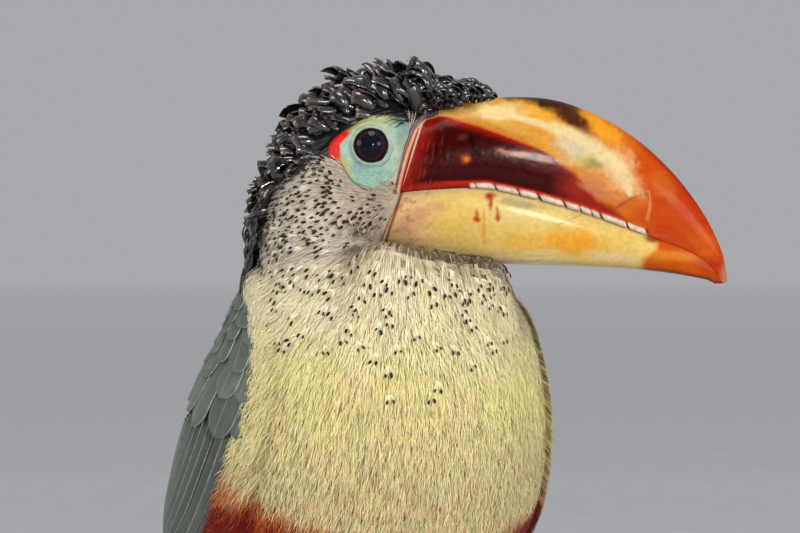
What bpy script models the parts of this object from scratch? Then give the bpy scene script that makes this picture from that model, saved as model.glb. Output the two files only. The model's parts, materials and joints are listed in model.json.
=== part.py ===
"""A curl-crested aracari, life size, standing on the floor with its head turned to its left.

Metres, +Z up. The body faces -Y and the bird's left side is +X. The trunk, neck and head are one
loft of egg-shaped rings that is parted with thin cuts; wings and crest are shells lifted off it.
"""

import math

import bmesh
import bpy
import numpy as np
from mathutils import Matrix, Vector
from mathutils.bvhtree import BVHTree

MM = 0.001
GAP = 0.3 * MM            # clearance between neighbouring pieces
SHELL_GAP = 0.8 * MM      # clearance under a shell whose facets differ from the loft's

HEAD_TURN = 68.0          # degrees that the head is turned to the bird's left
EYE_MIDPOINT = Vector((-5.0, -2.3, 174.2)) * MM
LOFT_COLUMNS = 26
ROUNDNESS = 2.2           # exponent of the rings' outline: 2 is an ellipse

# The rings of the body, from the tail coverts to the base of the bill. Each has the turn of its
# plane in degrees, its front point and its back point as (ahead, height), and its half width, in mm.
# Ahead is measured from the body's axis, or from between the eyes where the turn is the head's.
RINGS = [
    (0, -112, 29, -113, 37, 10.5),
    (0, -92, 26.5, -100, 47, 17),
    (0, -66, 27, -87, 61, 26),
    (0, -38, 31, -76, 75, 36),
    (0, -12, 39, -66, 87, 42.5),
    (0, 11, 52, -57, 98, 45),
    (0, 27, 70, -48.5, 108, 45.5),
    (0, 36, 90, -41, 119, 43.5),
    (0, 39.5, 108, -35, 128, 40.5),
    (18, 39, 122, -33.5, 135.5, 38),
    (42, 38.5, 132, -33.5, 141.5, 35.5),
    (60, 35.5, 138, -32.5, 145.3, 31.5),
    (68, 28.5, 141, -32.2, 147.4, 28.5),
    (68, 17, 143, -32, 149.0, 26.5),
    (68, 8, 144.3, -31.6, 150.8, 25),
    (68, 2.2, 145.6, -30.6, 153.6, 24),
    (68, 1.2, 146.0, -28.9, 158.6, 23),
    (68, 0.9, 146.3, -25.6, 167, 22),
    (68, 1.2, 146.5, -20.6, 174.8, 21),
    (68, 1.7, 146.65, -13, 182.2, 20),
    (68, 2.3, 146.75, -3, 187, 19),
    (68, 2.8, 146.8, 7, 187.6, 18),
    (68, 3.3, 146.8, 15.6, 185.2, 16.8),
]
RINGS_PER_UNIT = 2
RUMP_TOP, TRUNK_TOP, NECK_TOP = 2.5, 11, 16   # ring numbers where thin cuts part the loft
LAST_RING = len(RINGS) - 1

# The bill in the head's frame, in mm: matching points (ahead, up) on its ridge, its cutting edge
# and its keel, from the base to the tip, with the half width there.
BILL = [
    ((15.5, 9.8), (8.7, -12.4), (3.9, -26.6), 16.0),
    ((24.5, 12.2), (18.0, -11.6), (14.0, -29.8), 15.4),
    ((36.5, 13.4), (31.0, -11.3), (28.5, -31.2), 14.4),
    ((48.5, 12.8), (43.5, -13.9), (43.0, -31.8), 13.0),
    ((60.0, 9.0), (55.5, -17.2), (57.5, -32.2), 11.2),
    ((71.5, 2.2), (67.0, -21.1), (70.0, -32.9), 9.2),
    ((81.5, -7.0), (77.0, -24.8), (80.0, -34.0), 7.0),
    ((89.5, -17.6), (85.5, -28.0), (87.3, -35.2), 4.6),
    ((94.6, -28.0), (91.0, -31.6), (91.0, -36.0), 2.4),
    ((96.2, -36.4), (95.0, -36.9), (92.6, -36.9), 0.7),
]
BILL_STEPS = 13
BILL_SIDE_STEPS = 5
TOMIUM_GAP = 0.35         # mm between the closed upper and lower bill

EYE_RADIUS = 5.6 * MM
EYE_OUT = 14.6 * MM       # from the head's middle to the eye's centre
ORBIT_MIDDLE = (1.6, -1.4)      # the bare skin round the eye, in mm ahead of it and above it
ORBIT_RADII = (10.8, 10.2)
ORBIT_OPENING = 4.7
ORBIT_THICKNESS = 0.9
ORBIT_STEPS = 20
HEAD_REACH = 40 * MM      # further from the head's middle than anything on its side

CREST_SPAN = 27           # degrees from the crown's middle to the outermost knobs
CREST_BULGE = 11          # and this much further half-way down the nape
CREST_ROWS, CREST_END = 14, 15.2          # rows of knobs, and the body's ring where they end
CREST_HEIGHT, CREST_HEIGHT_FALL = 7.4, 0.62   # mm of a knob's centre, and its loss in each row
CREST_KNOB, CREST_KNOB_FALL = 4.3, 0.13   # mm radius of a knob, and its loss in each row
CREST_SWELL = (1.4, 0.8)                  # mm by which knobs differ in height and in radius
CREST_FRONT = ((20, 16.2, 4.0), (28, 14.6, 3.4))   # mm ahead, above the eyes, and radius
CREST_VOXEL = 1.7 * MM
CREST_THINNING = 0.056

# The folded wing: the body's ring, the degrees from the breast's middle of its front and back
# edges, and its depth in mm, from the shoulder to the tip.
WING_RINGS = [9.6, 8.8, 7.9, 6.9, 5.8, 4.7, 3.6, 2.5, 1.4, 0.35]
WING_FRONT = [90, 80, 74, 72, 73, 77, 85, 98, 118, 142]
WING_BACK = [122, 146, 156, 160, 162, 164, 166, 168, 168, 166]
WING_DEPTH = [1.2, 2.6, 3.8, 4.6, 5.0, 5.0, 4.7, 4.2, 3.4, 2.2]
WING_ROWS = len(WING_RINGS) - 1
WING_EDGE = 0.2           # share of that depth at the wing's front edge
WING_COVERTS_END, WING_SECONDARIES_END = 0.46, 0.93   # shares of its length
WING_SPLIT = 0.52         # share of its width where the primaries end
WING_SEAM = 0.004

FOOT_AHEAD, FOOT_OUT = -14 * MM, 21 * MM
HEEL_BACK, HEEL_UP = 18 * MM, 25 * MM
HEEL_IN = 1.5 * MM
HUB_UP = 3.4 * MM
SHANK_AT = (0, 0.08, 0.2, 0.5, 0.8, 0.92, 1.0)   # shares of the way from heel to foot
SHANK_RADII = (2.6, 3.2, 2.6, 2.2, 2.5, 3.6, 4.1)  # mm there
SOLE_RADIUS = 3.2
KNEE_OUT, KNEE_FORWARD, KNEE_UP = 24 * MM, 3 * MM, 66 * MM
THIGH_AT = (0, 0.07, 0.25, 0.5, 0.75, 1.0)
THIGH_RADII = (3.4, 4.6, 7.2, 10.5, 13.5, 15.0)
TOE_NAMES = ("inner_back", "inner_front", "outer_front", "outer_back")
TOE_HEADINGS = (158, 13, -11, -156)     # degrees from ahead, towards the body's middle
TOE_ROOTS = ((2.9, -2.6), (2.9, 2.2), (-2.9, 2.2), (-2.9, -2.6))  # mm inwards and ahead
TOE_RADIUS = 2.2 * MM
TOE_LENGTHS = (15, 20, 28, 26)          # mm without the claw
TOE_ARCH = 0.2 * MM
TOE_SINK = 0.84           # height of a toe's middle line over its radius, so its sole is flat
CLAW_LENGTH = 8 * MM
CLAW_ARCH = 1.8 * MM

TAIL_LENGTHS = (154, 135, 123, 110, 96)   # mm beyond the rump, from the middle pair outwards
TAIL_ROOT = Vector((0, 113.9, 35.4)) * MM
TAIL_DROP = 146 * MM       # distance behind the root where the tail meets the floor
TAIL_VANE = 12.5 * MM
TAIL_STEP = 1.1 * MM       # each feather shows this much beyond the one above it
TAIL_SPREAD = 1.1          # degrees more for each feather
VANE_THICKNESS = 0.9 * MM
VANE_GAP = 0.5 * MM
ROOF = 5.0                 # fall of the tail's surface beside its middle, per metre squared

COLOURS = {
    "crest_black": ((0.008, 0.008, 0.010), 0.15),
    "face_white": ((0.72, 0.68, 0.56), 0.6),
    "breast_yellow": ((0.78, 0.70, 0.33), 0.7),
    "rump_red": ((0.42, 0.03, 0.02), 0.65),
    "wing_green": ((0.045, 0.085, 0.075), 0.5),
    "tail_green": ((0.03, 0.06, 0.045), 0.5),
    "bill_maroon": ((0.30, 0.02, 0.015), 0.25),
    "bill_yellow": ((0.83, 0.60, 0.20), 0.28),
    "orbit_blue": ((0.36, 0.66, 0.62), 0.5),
    "eye_dark": ((0.012, 0.008, 0.006), 0.05),
    "leg_grey": ((0.19, 0.24, 0.20), 0.55),
    "claw_dark": ((0.05, 0.045, 0.04), 0.35),
}


def clear_scene():
    for obj in list(bpy.data.objects):
        bpy.data.objects.remove(obj)


def material(name):
    """The named finish, made once."""
    found = bpy.data.materials.get(name)
    if found:
        return found
    made = bpy.data.materials.new(name)
    made.use_nodes = True
    shader = made.node_tree.nodes["Principled BSDF"]
    colour, roughness = COLOURS[name]
    shader.inputs["Base Color"].default_value = (*colour, 1)
    shader.inputs["Roughness"].default_value = roughness
    shader.inputs["Metallic"].default_value = 0
    return made


def add_object(name, points, faces, finish, helper=False):
    """A mesh object with its faces pointing out."""
    mesh = bpy.data.meshes.new(name)
    mesh.from_pydata([tuple(p) for p in points], [], faces)
    shape = bmesh.new()
    shape.from_mesh(mesh)
    bmesh.ops.remove_doubles(shape, verts=shape.verts, dist=0.01 * MM)
    bmesh.ops.recalc_face_normals(shape, faces=shape.faces)
    shape.to_mesh(mesh)
    shape.free()
    mesh.shade_smooth()
    obj = bpy.data.objects.new(name, mesh)
    bpy.context.scene.collection.objects.link(obj)
    obj.data.materials.append(material(finish))
    if helper:
        obj.hide_render = True
        obj.display_type = "WIRE"
    return obj


def loft(name, rings, finish, helper=False):
    """Joins equal rings of points side by side and closes both ends flat."""
    count = len(rings[0])
    points = [p for ring in rings for p in ring]
    faces = []
    for k in range(len(rings) - 1):
        for i in range(count):
            j = (i + 1) % count
            low, high = k * count, (k + 1) * count
            faces.append((low + i, low + j, high + j, high + i))
    faces.append(tuple(range(count)))
    faces.append(tuple(range(len(points) - count, len(points))))
    return add_object(name, points, faces, finish, helper)


def cut(obj, cutter, operation="DIFFERENCE"):
    modifier = obj.modifiers.new(cutter.name, "BOOLEAN")
    modifier.object = cutter
    modifier.operation = operation
    modifier.solver = "EXACT"
    return obj


def blend_rows(rows, at):
    """Row `at` of a table of numbers, on a smooth curve through its rows."""
    rows = np.asarray(rows, float)
    k = int(min(max(math.floor(at), 0), len(rows) - 2))
    t = at - k
    before, after = rows[max(k - 1, 0)], rows[min(k + 2, len(rows) - 1)]
    start, end = rows[k], rows[k + 1]
    pull_in, pull_out = (end - before) / 2, (after - start) / 2
    return (
        start * (2 * t**3 - 3 * t**2 + 1)
        + pull_in * (t**3 - 2 * t**2 + t)
        + end * (3 * t**2 - 2 * t**3)
        + pull_out * (t**3 - t**2)
    )


def ease(x, low, high):
    """0 below low, 1 above high, and smooth between."""
    t = min(max((x - low) / (high - low), 0), 1)
    return t * t * (3 - 2 * t)


# ---------------------------------------------------------------- the body's surface


def facing(turn):
    """The level direction that is `turn` degrees to the left of the body's front."""
    a = math.radians(turn)
    return Vector((math.sin(a), -math.cos(a), 0))


def leftward(turn):
    a = math.radians(turn)
    return Vector((math.cos(a), math.sin(a), 0))


def in_plane(turn, ahead, height):
    """A point in the upright plane of that turn, from millimetres ahead and above the floor."""
    share = turn / HEAD_TURN
    axis = Vector((EYE_MIDPOINT.x * share, EYE_MIDPOINT.y * share, 0))
    return axis + facing(turn) * ahead * MM + Vector((0, 0, height * MM))


def ring_at(v):
    """(centre, half the front-to-back axis, half the side axis, turn) of the body at ring v."""
    turn, front_ahead, front_up, back_ahead, back_up, side = blend_rows(RINGS, v)
    front = in_plane(turn, front_ahead, front_up)
    back = in_plane(turn, back_ahead, back_up)
    return (front + back) / 2, (front - back) / 2, leftward(turn) * side * MM, turn


def rounded(value):
    return math.copysign(abs(value) ** (2 / ROUNDNESS), value)


def body_point(v, angle):
    """The body's surface at ring v, `angle` degrees to the left of the body's front."""
    centre, ahead, side, turn = ring_at(v)
    a = math.radians(angle - turn)
    return centre + ahead * rounded(math.cos(a)) + side * rounded(math.sin(a))


def body_normal(v, angle):
    step = 0.05
    low, high = max(v - step, 0), min(v + step, LAST_RING)
    along = body_point(high, angle) - body_point(low, angle)
    around = body_point(v, angle + 2) - body_point(v, angle - 2)
    normal = around.cross(along).normalized()
    outward = body_point(v, angle) - ring_at(v)[0]
    return normal if normal.dot(outward) > 0 else -normal


def lifted(v, angle, height):
    return body_point(v, angle) + body_normal(v, angle) * height


def body_rings(first, last, lift=0.0):
    count = round((last - first) * RINGS_PER_UNIT)
    angles = [360 * i / LOFT_COLUMNS for i in range(LOFT_COLUMNS)]
    return [
        [lifted(first + (last - first) * k / count, a, lift) for a in angles]
        for k in range(count + 1)
    ]


def drawn_in(rings, distance):
    """The same rings with the last one moved back by `distance` along its own axis."""
    last, before = rings[-1], rings[-2]
    middle = sum(last, Vector()) / len(last)
    across = (last[0] - middle).cross(last[len(last) // 4] - middle).normalized()
    if across.dot(sum(before, Vector()) / len(before) - middle) < 0:
        across = -across
    return rings[:-1] + [[p + across * distance for p in last]]


def body_piece(name, first, last, finish):
    return loft(name, drawn_in(body_rings(first, last), GAP), finish)


def body_cutter(name, first, last):
    return loft(name, body_rings(first, last, GAP), "face_white", True)


def shell(name, places, heights, finish, inner=SHELL_GAP):
    """A plate over the body. places[k][j] is (ring, angle) and heights[k][j] its height there."""
    rows, columns = len(places), len(places[0])
    points = [lifted(v, a, inner) for row in places for v, a in row]
    points += [
        lifted(v, a, inner + heights[k][j])
        for k, row in enumerate(places)
        for j, (v, a) in enumerate(row)
    ]
    top = rows * columns
    faces = []
    for k in range(rows - 1):
        for j in range(columns - 1):
            a, b = k * columns + j, k * columns + j + 1
            c, d = b + columns, a + columns
            faces.append((a, b, c, d))
            faces.append((top + d, top + c, top + b, top + a))
    rim = [(0, j) for j in range(columns)]
    rim += [(k, columns - 1) for k in range(1, rows)]
    rim += [(rows - 1, j) for j in range(columns - 2, -1, -1)]
    rim += [(k, 0) for k in range(rows - 2, 0, -1)]
    for here, there in zip(rim, rim[1:] + rim[:1]):
        a, b = here[0] * columns + here[1], there[0] * columns + there[1]
        faces.append((b, a, top + a, top + b))
    return add_object(name, points, faces, finish)


# ---------------------------------------------------------------- head


def in_head(ahead, left, up):
    """A point in the head's frame, which has its origin between the eyes."""
    offset = facing(HEAD_TURN) * ahead + leftward(HEAD_TURN) * left
    return EYE_MIDPOINT + offset + Vector((0, 0, up))


def head_matrix():
    ahead, left = facing(HEAD_TURN), leftward(HEAD_TURN)
    turned = Matrix((ahead, left, Vector((0, 0, 1)))).transposed().to_4x4()
    return Matrix.Translation(EYE_MIDPOINT) @ turned


def ellipsoid(name, centre, radii, finish, helper=False):
    """An ellipsoid whose radii lie along the head's ahead, left and up."""
    shape = bmesh.new()
    bmesh.ops.create_uvsphere(shape, u_segments=14, v_segments=9, radius=1)
    turned = head_matrix().to_3x3().to_4x4()
    placed = Matrix.Translation(centre) @ turned @ Matrix.Diagonal((*radii, 1))
    points = [placed @ v.co for v in shape.verts]
    faces = [tuple(v.index for v in f.verts) for f in shape.faces]
    shape.free()
    return add_object(name, points, faces, finish, helper)


def bill_row(t):
    """(ridge, cutting edge, keel, half width) of the bill at row t."""
    flat = [(*ridge, *edge, *keel, half) for ridge, edge, keel, half in BILL]
    row = blend_rows(flat, t)
    return row[0:2], row[2:4], row[4:6], row[6]


def bill_ring(t, upper, grow):
    """One outline round the upper or lower bill, wider or closer by `grow` millimetres."""
    ridge, edge, keel, half = bill_row(t)
    far = ridge if upper else keel
    spread = half * (1.0 if upper else 0.93)
    fullness = 2.5 if upper else 2.9
    reach = np.linalg.norm(far - edge)
    along = (far - edge) / reach
    start = TOMIUM_GAP / 2 - grow
    outline = []
    for i in range(BILL_SIDE_STEPS + 1):
        a = math.pi / 2 * i / BILL_SIDE_STEPS
        rise = math.sin(a) ** (2 / fullness)
        wide = math.cos(a) ** (2 / fullness)
        tuck = 1 - 0.10 * (1 - rise) ** 3
        outline.append((start + rise * (reach - start + grow), (spread + grow) * wide * tuck))
    both = [(up, side) for up, side in outline]
    both += [(up, -side) for up, side in reversed(outline[:-1])]
    return [
        in_head(*(MM * x for x in (edge[0] + along[0] * up, side, edge[1] + along[1] * up)))
        for up, side in both
    ]


def bill_half(name, upper, finish, grow=0.0, helper=False):
    last = len(BILL) - 1
    rows = [last * k / BILL_STEPS for k in range(BILL_STEPS + 1)]
    return loft(name, [bill_ring(t, upper, grow) for t in rows], finish, helper)



def crest_lumps():
    """Overlapping knobs in rows over the crown and nape, one for each cluster of curls."""
    places = []
    for k in range(CREST_ROWS):
        v = LAST_RING - (LAST_RING - CREST_END) * k / (CREST_ROWS - 1)
        span = CREST_SPAN + CREST_BULGE * math.sin(math.pi * k / (CREST_ROWS - 1))
        count = 6 if k < CREST_ROWS - 4 else 5
        for j in range(count):
            share = 2 * j / (count - 1) - 1
            stagger = (k % 2 - 0.5) * span / count
            places.append((v, 180 + HEAD_TURN + share * span + stagger, k, j))
    lumps = []
    for v, angle, k, j in places:
        swell = 0.5 + 0.5 * math.sin(2.3 * k + 1.9 * j)
        edge = abs(angle - 180 - HEAD_TURN) / (CREST_SPAN + CREST_BULGE)
        height = (CREST_HEIGHT - CREST_HEIGHT_FALL * k) * (1 - 0.5 * edge**2)
        height += CREST_SWELL[0] * swell
        radius = CREST_KNOB - CREST_KNOB_FALL * k + CREST_SWELL[1] * swell
        lumps.append((lifted(v, angle, max(height, 1.0) * MM), radius * MM))
    for ahead, rise, radius in CREST_FRONT:
        for side in (-7, 0, 7):
            up = rise - 0.045 * side**2
            lumps.append((in_head(ahead * MM, side * MM, up * MM), radius * MM))
    return lumps


def make_crest(cutters):
    """The mass of black curls, from over the bill's base down to the nape."""
    shape = bmesh.new()
    for centre, radius in crest_lumps():
        place = Matrix.Translation(centre)
        bmesh.ops.create_icosphere(shape, subdivisions=2, radius=radius, matrix=place)
    mesh = bpy.data.meshes.new("crest")
    shape.to_mesh(mesh)
    shape.free()
    mesh.shade_smooth()
    crest = bpy.data.objects.new("crest", mesh)
    bpy.context.scene.collection.objects.link(crest)
    crest.data.materials.append(material("crest_black"))
    fuse = crest.modifiers.new("fuse", "REMESH")
    fuse.mode = "VOXEL"
    fuse.voxel_size = CREST_VOXEL
    thin = crest.modifiers.new("thin", "DECIMATE")
    thin.ratio = CREST_THINNING
    for cutter in cutters:
        cut(crest, cutter)
    return crest


def bill_base_ahead(up):
    """How far ahead the head's flat front lies, at that height above the eyes, in mm."""
    _, front, low, back, high, _ = RINGS[LAST_RING]
    share = (EYE_MIDPOINT.z / MM + up - low) / (high - low)
    return front + (back - front) * share


def make_orbit(name, side, head_tree):
    """The raised ring of bare skin round an eye, lying on the head and ending at the bill."""
    rings = []
    ray = -leftward(HEAD_TURN) * side
    for share, rise in ((0, 0.75), (0.45, 1.0), (1, 0.35)):
        under, over = [], []
        for i in range(ORBIT_STEPS):
            a = 2 * math.pi * i / ORBIT_STEPS
            start = Vector((math.cos(a), math.sin(a))) * ORBIT_OPENING
            end = Vector((ORBIT_RADII[0] * math.cos(a), ORBIT_RADII[1] * math.sin(a)))
            ahead, up = start.lerp(end + Vector(ORBIT_MIDDLE), share)
            ahead = min(ahead, bill_base_ahead(up) - 1.0 - 0.8 * (1 - share))
            origin = in_head(ahead * MM, side * HEAD_REACH, up * MM)
            place = head_tree.ray_cast(origin, ray)[0]
            under.append(place - ray * SHELL_GAP / 2)
            over.append(place - ray * (SHELL_GAP / 2 + ORBIT_THICKNESS * rise * MM))
        rings.append((under, over))
    loops = [under for under, _ in rings] + [over for _, over in reversed(rings)]
    points = [p for ring in loops for p in ring]
    faces = []
    for k in range(len(loops)):
        low, high = k * ORBIT_STEPS, (k + 1) % len(loops) * ORBIT_STEPS
        for i in range(ORBIT_STEPS):
            j = (i + 1) % ORBIT_STEPS
            faces.append((low + i, low + j, high + j, high + i))
    return add_object(f"orbit_{name}", points, faces, "orbit_blue")


def orbit_cutter():
    """A level pillar through the head that keeps the crest off both rings of bare skin."""
    rings = []
    for left in (-HEAD_REACH, HEAD_REACH):
        ring = []
        for i in range(ORBIT_STEPS):
            a = 2 * math.pi * i / ORBIT_STEPS
            ahead = ORBIT_MIDDLE[0] * MM + (ORBIT_RADII[0] * MM + GAP) * math.cos(a)
            up = ORBIT_MIDDLE[1] * MM + (ORBIT_RADII[1] * MM + GAP) * math.sin(a)
            ring.append(in_head(ahead, left, up))
        rings.append(ring)
    return loft("orbit_cutter", rings, "orbit_blue", True)


def make_head():
    head = body_piece("head", NECK_TOP, LAST_RING, "face_white")
    head_cutter = body_cutter("head_cutter", TRUNK_TOP - 2, LAST_RING)
    head_tree = BVHTree.FromObject(head_cutter, bpy.context.evaluated_depsgraph_get())
    for side, name in ((-1, "right"), (1, "left")):
        centre = in_head(0, side * EYE_OUT, 0)
        ellipsoid(f"eye_{name}", centre, (EYE_RADIUS,) * 3, "eye_dark")
        hollow = (EYE_RADIUS + GAP,) * 3
        socket = ellipsoid(f"socket_{name}", centre, hollow, "eye_dark", True)
        cut(head, socket)
        cut(make_orbit(name, side, head_tree), socket)
    bill_half("bill_upper", True, "bill_maroon")
    bill_half("bill_lower", False, "bill_yellow")
    ridge_cutter = bill_half("ridge_cutter", True, "bill_maroon", 0.3, True)
    return head_cutter, ridge_cutter, orbit_cutter()


# ---------------------------------------------------------------- trunk, wings and tail


def wing_cell(s, across):
    """(ring, angle) at share s down the wing and `across` from its front edge to its back edge."""
    ring, front, back, _ = blend_rows(
        list(zip(WING_RINGS, WING_FRONT, WING_BACK, WING_DEPTH)), s * WING_ROWS
    )
    return ring, front + (back - front) * across


def wing_height(s, across, feathers, step):
    """Thickness of the folded wing, with a low ridge for each feather in the row."""
    depth = blend_rows([[d] for d in WING_DEPTH], s * WING_ROWS)[0]
    edge = WING_EDGE + (1 - WING_EDGE) * ease(across, 0, 0.28) * (1 - 0.55 * ease(across, 0.72, 1))
    ridge = step * (1 - (across * feathers) % 1)
    return (depth * edge + ridge) * MM


def wing_part(name, side, lengths, acrosses, feathers, step, trim=1.0):
    """One section of a folded wing, between shares of its length and of its width."""
    rows, columns = 8, 7
    places, heights = [], []
    for k in range(rows):
        row, tall = [], []
        for j in range(columns):
            s = lengths[0] + (lengths[1] - lengths[0]) * k / (rows - 1)
            across = acrosses[0] + (acrosses[1] - acrosses[0]) * j / (columns - 1)
            ring, angle = wing_cell(s, across)
            row.append((ring, side * angle))
            tall.append(wing_height(s, across, feathers, step) * trim)
        places.append(row)
        heights.append(tall)
    return shell(name, places, heights, "wing_green")


def make_wing(side, name):
    """The three sections of one folded wing: coverts at the shoulder, then two rows of quills."""
    start = WING_COVERTS_END + WING_SEAM
    split = WING_SPLIT
    wing_part(f"wing_{name}_coverts", side, (0, WING_COVERTS_END), (0, 1), 5, 0.5)
    wing_part(
        f"wing_{name}_secondaries", side, (start, WING_SECONDARIES_END), (split, 1), 4, 0.7, 0.9
    )
    outer = (0, split - 2 * WING_SEAM)
    wing_part(f"wing_{name}_primaries", side, (start, 1), outer, 4, 0.7, 0.8)


def feather_outline(length, width, steps):
    """(distance along, half width) down a tail feather with a rounded tip."""
    rows = []
    for k in range(steps + 1):
        along = length * (1 - (1 - k / steps) ** 1.5)
        root = 0.45 + 0.55 * ease(along / length, 0, 0.4)
        tip = math.sqrt(max(1 - ease(along / length, 0.86, 1.0) ** 2, 0.02))
        rows.append((along, width / 2 * root * tip))
    return rows


def tail_height(along, beside, layer):
    """Underside of that layer of the tail, at a distance from the tail's root and its middle."""
    ridge = TAIL_ROOT.z * (1 - along / TAIL_DROP) - layer * (VANE_THICKNESS + VANE_GAP)
    return max(ridge - ROOF * abs(beside) ** 2, 0)


def make_rectrix(name, side, order):
    """One tail feather. Order 0 is the longest, topmost one beside the middle."""
    length = TAIL_LENGTHS[order] * MM
    spread = math.radians(TAIL_SPREAD * order)
    heading = Vector((side * math.sin(spread), math.cos(spread), 0))
    across = Vector((side * math.cos(spread), -math.sin(spread), 0))
    rings = []
    for along, half in feather_outline(length, TAIL_VANE, 7):
        inner = TAIL_ROOT + across * (GAP + order * TAIL_STEP) + heading * along
        edge = [inner + across * half * 2 * share for share in (0, 0.5, 1)]
        low = [tail_height(along, p.x, order) for p in edge]
        under = [Vector((p.x, p.y, z)) for p, z in zip(edge, low)]
        over = [Vector((p.x, p.y, z + VANE_THICKNESS)) for p, z in zip(edge, low)]
        rings.append(under + over[::-1])
    return loft(name, rings, "tail_green")


# ---------------------------------------------------------------- legs


def tube(name, points, radii, finish, sides=12, squash=1.0, floor=None, helper=False):
    """A tube through points. Where floor is given, its underside is flattened at that height."""
    rings = []
    shift = 0.5 if sides % 4 == 0 else 0      # so that a side faces down, not a corner
    for k, (point, radius) in enumerate(zip(points, radii)):
        before, after = points[max(k - 1, 0)], points[min(k + 1, len(points) - 1)]
        along = (after - before).normalized()
        level = along.cross(Vector((0, 0, 1)))
        level = level.normalized() if level.length > 0.05 else Vector((1, 0, 0))
        upright = level.cross(along).normalized()
        ring = []
        for i in range(sides):
            a = 2 * math.pi * (i + shift) / sides
            p = point + level * radius * math.cos(a) + upright * radius * squash * math.sin(a)
            if floor is not None:
                p.z = max(p.z, floor)
            ring.append(p)
        rings.append(ring)
    return loft(name, rings, finish, helper)


def foot_point(side):
    return Vector((side * FOOT_OUT, -FOOT_AHEAD, 0))


def heel_point(side):
    return foot_point(side) + Vector((-side * HEEL_IN, HEEL_BACK, HEEL_UP))


def make_toe(side, name, which, hub):
    """A jointed toe lying on the floor, with swollen pads, and its claw."""
    heading = math.radians(TOE_HEADINGS[which])
    along = Vector((-side * math.sin(heading), -math.cos(heading), 0))
    length = TOE_LENGTHS[which] * MM
    inward, ahead = TOE_ROOTS[which]
    base = foot_point(side) + Vector((-side * inward, -ahead, 0)) * MM
    points, radii = [], []
    steps = 6
    for k in range(steps + 1):
        t = k / steps
        radius = TOE_RADIUS * (1 - 0.28 * t) * (1 + 0.09 * math.cos(4 * math.pi * t))
        arch = TOE_ARCH * math.sin(math.pi * t) * (1 - t)
        radii.append(radius * (0.72 if k == steps else 1))
        points.append(base + along * length * t + Vector((0, 0, radius * TOE_SINK + arch)))
    toe = tube(f"toe_{name}_{TOE_NAMES[which]}", points, radii, "leg_grey", 8, 1.0, 0.0)
    cut(toe, hub)
    root = Vector((points[-1].x, points[-1].y, points[-2].z)) + along * 2 * GAP
    claw, sizes = [], []
    for k in range(6):
        t = k / 5
        rise = CLAW_ARCH * math.sin(math.pi * ease(t, 0, 1.15)) * ease(t, 0.05, 0.3)
        claw.append(root + along * CLAW_LENGTH * t + Vector((0, 0, rise - root.z * 0.75 * t * t)))
        sizes.append((1.3 * (1 - t) + 0.28) * MM)
    tube(f"claw_{name}_{TOE_NAMES[which]}", claw, sizes, "claw_dark", 6, 1.15, 0.0)


def make_leg(side, name, trunk_cutter):
    """The bare shank with its foot, and the feathered thigh up to the trunk."""
    foot, heel = foot_point(side), heel_point(side)
    hub_centre = foot + Vector((0, 0, HUB_UP))
    shank_top = heel + Vector((0, 0, MM))
    shank = [shank_top.lerp(hub_centre, t) for t in SHANK_AT]
    shank.append(hub_centre - Vector((0, 1.2, 1.8)) * MM)
    thick = [*SHANK_RADII, SOLE_RADIUS]
    tube(f"tarsus_{name}", shank, [r * MM for r in thick], "leg_grey", 10, 1.05, 0.0)
    grown = [r * MM + GAP for r in thick]
    hub = tube(f"hub_{name}", shank, grown, "leg_grey", 10, 1.05, None, True)
    for which in range(len(TOE_NAMES)):
        make_toe(side, name, which, hub)
    knee = Vector((side * KNEE_OUT, foot.y - KNEE_FORWARD, KNEE_UP))
    low = shank_top + (knee - shank_top).normalized() * HUB_UP
    thigh = [low.lerp(knee, t) for t in THIGH_AT]
    leg = tube(f"thigh_{name}", thigh, [r * MM for r in THIGH_RADII], "wing_green", 16, 1.15)
    cut(leg, trunk_cutter)


def settle():
    """Puts the origin on the floor at the middle of the model's box."""
    bpy.context.view_layer.update()
    graph = bpy.context.evaluated_depsgraph_get()
    low, high = Vector((1e9,) * 3), Vector((-1e9,) * 3)
    for obj in bpy.context.scene.objects:
        if obj.hide_render:
            continue
        mesh = obj.evaluated_get(graph).to_mesh()
        for vertex in mesh.vertices:
            point = obj.matrix_world @ vertex.co
            low = Vector(map(min, low, point))
            high = Vector(map(max, high, point))
    middle = (low + high) / 2
    for obj in bpy.context.scene.objects:
        obj.location -= Vector((middle.x, middle.y, low.z))


def main():
    clear_scene()
    body_piece("rump", 0, RUMP_TOP, "rump_red")
    body_piece("trunk", RUMP_TOP, TRUNK_TOP, "breast_yellow")
    body_piece("neck", TRUNK_TOP, NECK_TOP, "face_white")
    make_crest(make_head())
    trunk_cutter = body_cutter("trunk_cutter", 0, TRUNK_TOP)
    for side, name in ((-1, "right"), (1, "left")):
        make_wing(side, name)
        make_leg(side, name, trunk_cutter)
        for order in range(len(TAIL_LENGTHS)):
            make_rectrix(f"tail_{name}_{order + 1}", side, order)
    settle()


main()
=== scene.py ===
"""The looks of a curl-crested aracari: skin, feathers, bill, eyes, legs and a plain stage.

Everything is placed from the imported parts, in metres, +Z up. The body faces -Y, and the head is
turned to the bird's left. The Aracari panel in the 3D view's sidebar makes each piece again.
"""

import itertools
import json
import math

import bmesh
import bpy
import numpy as np
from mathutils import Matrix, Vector
from mathutils.bvhtree import BVHTree

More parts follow.
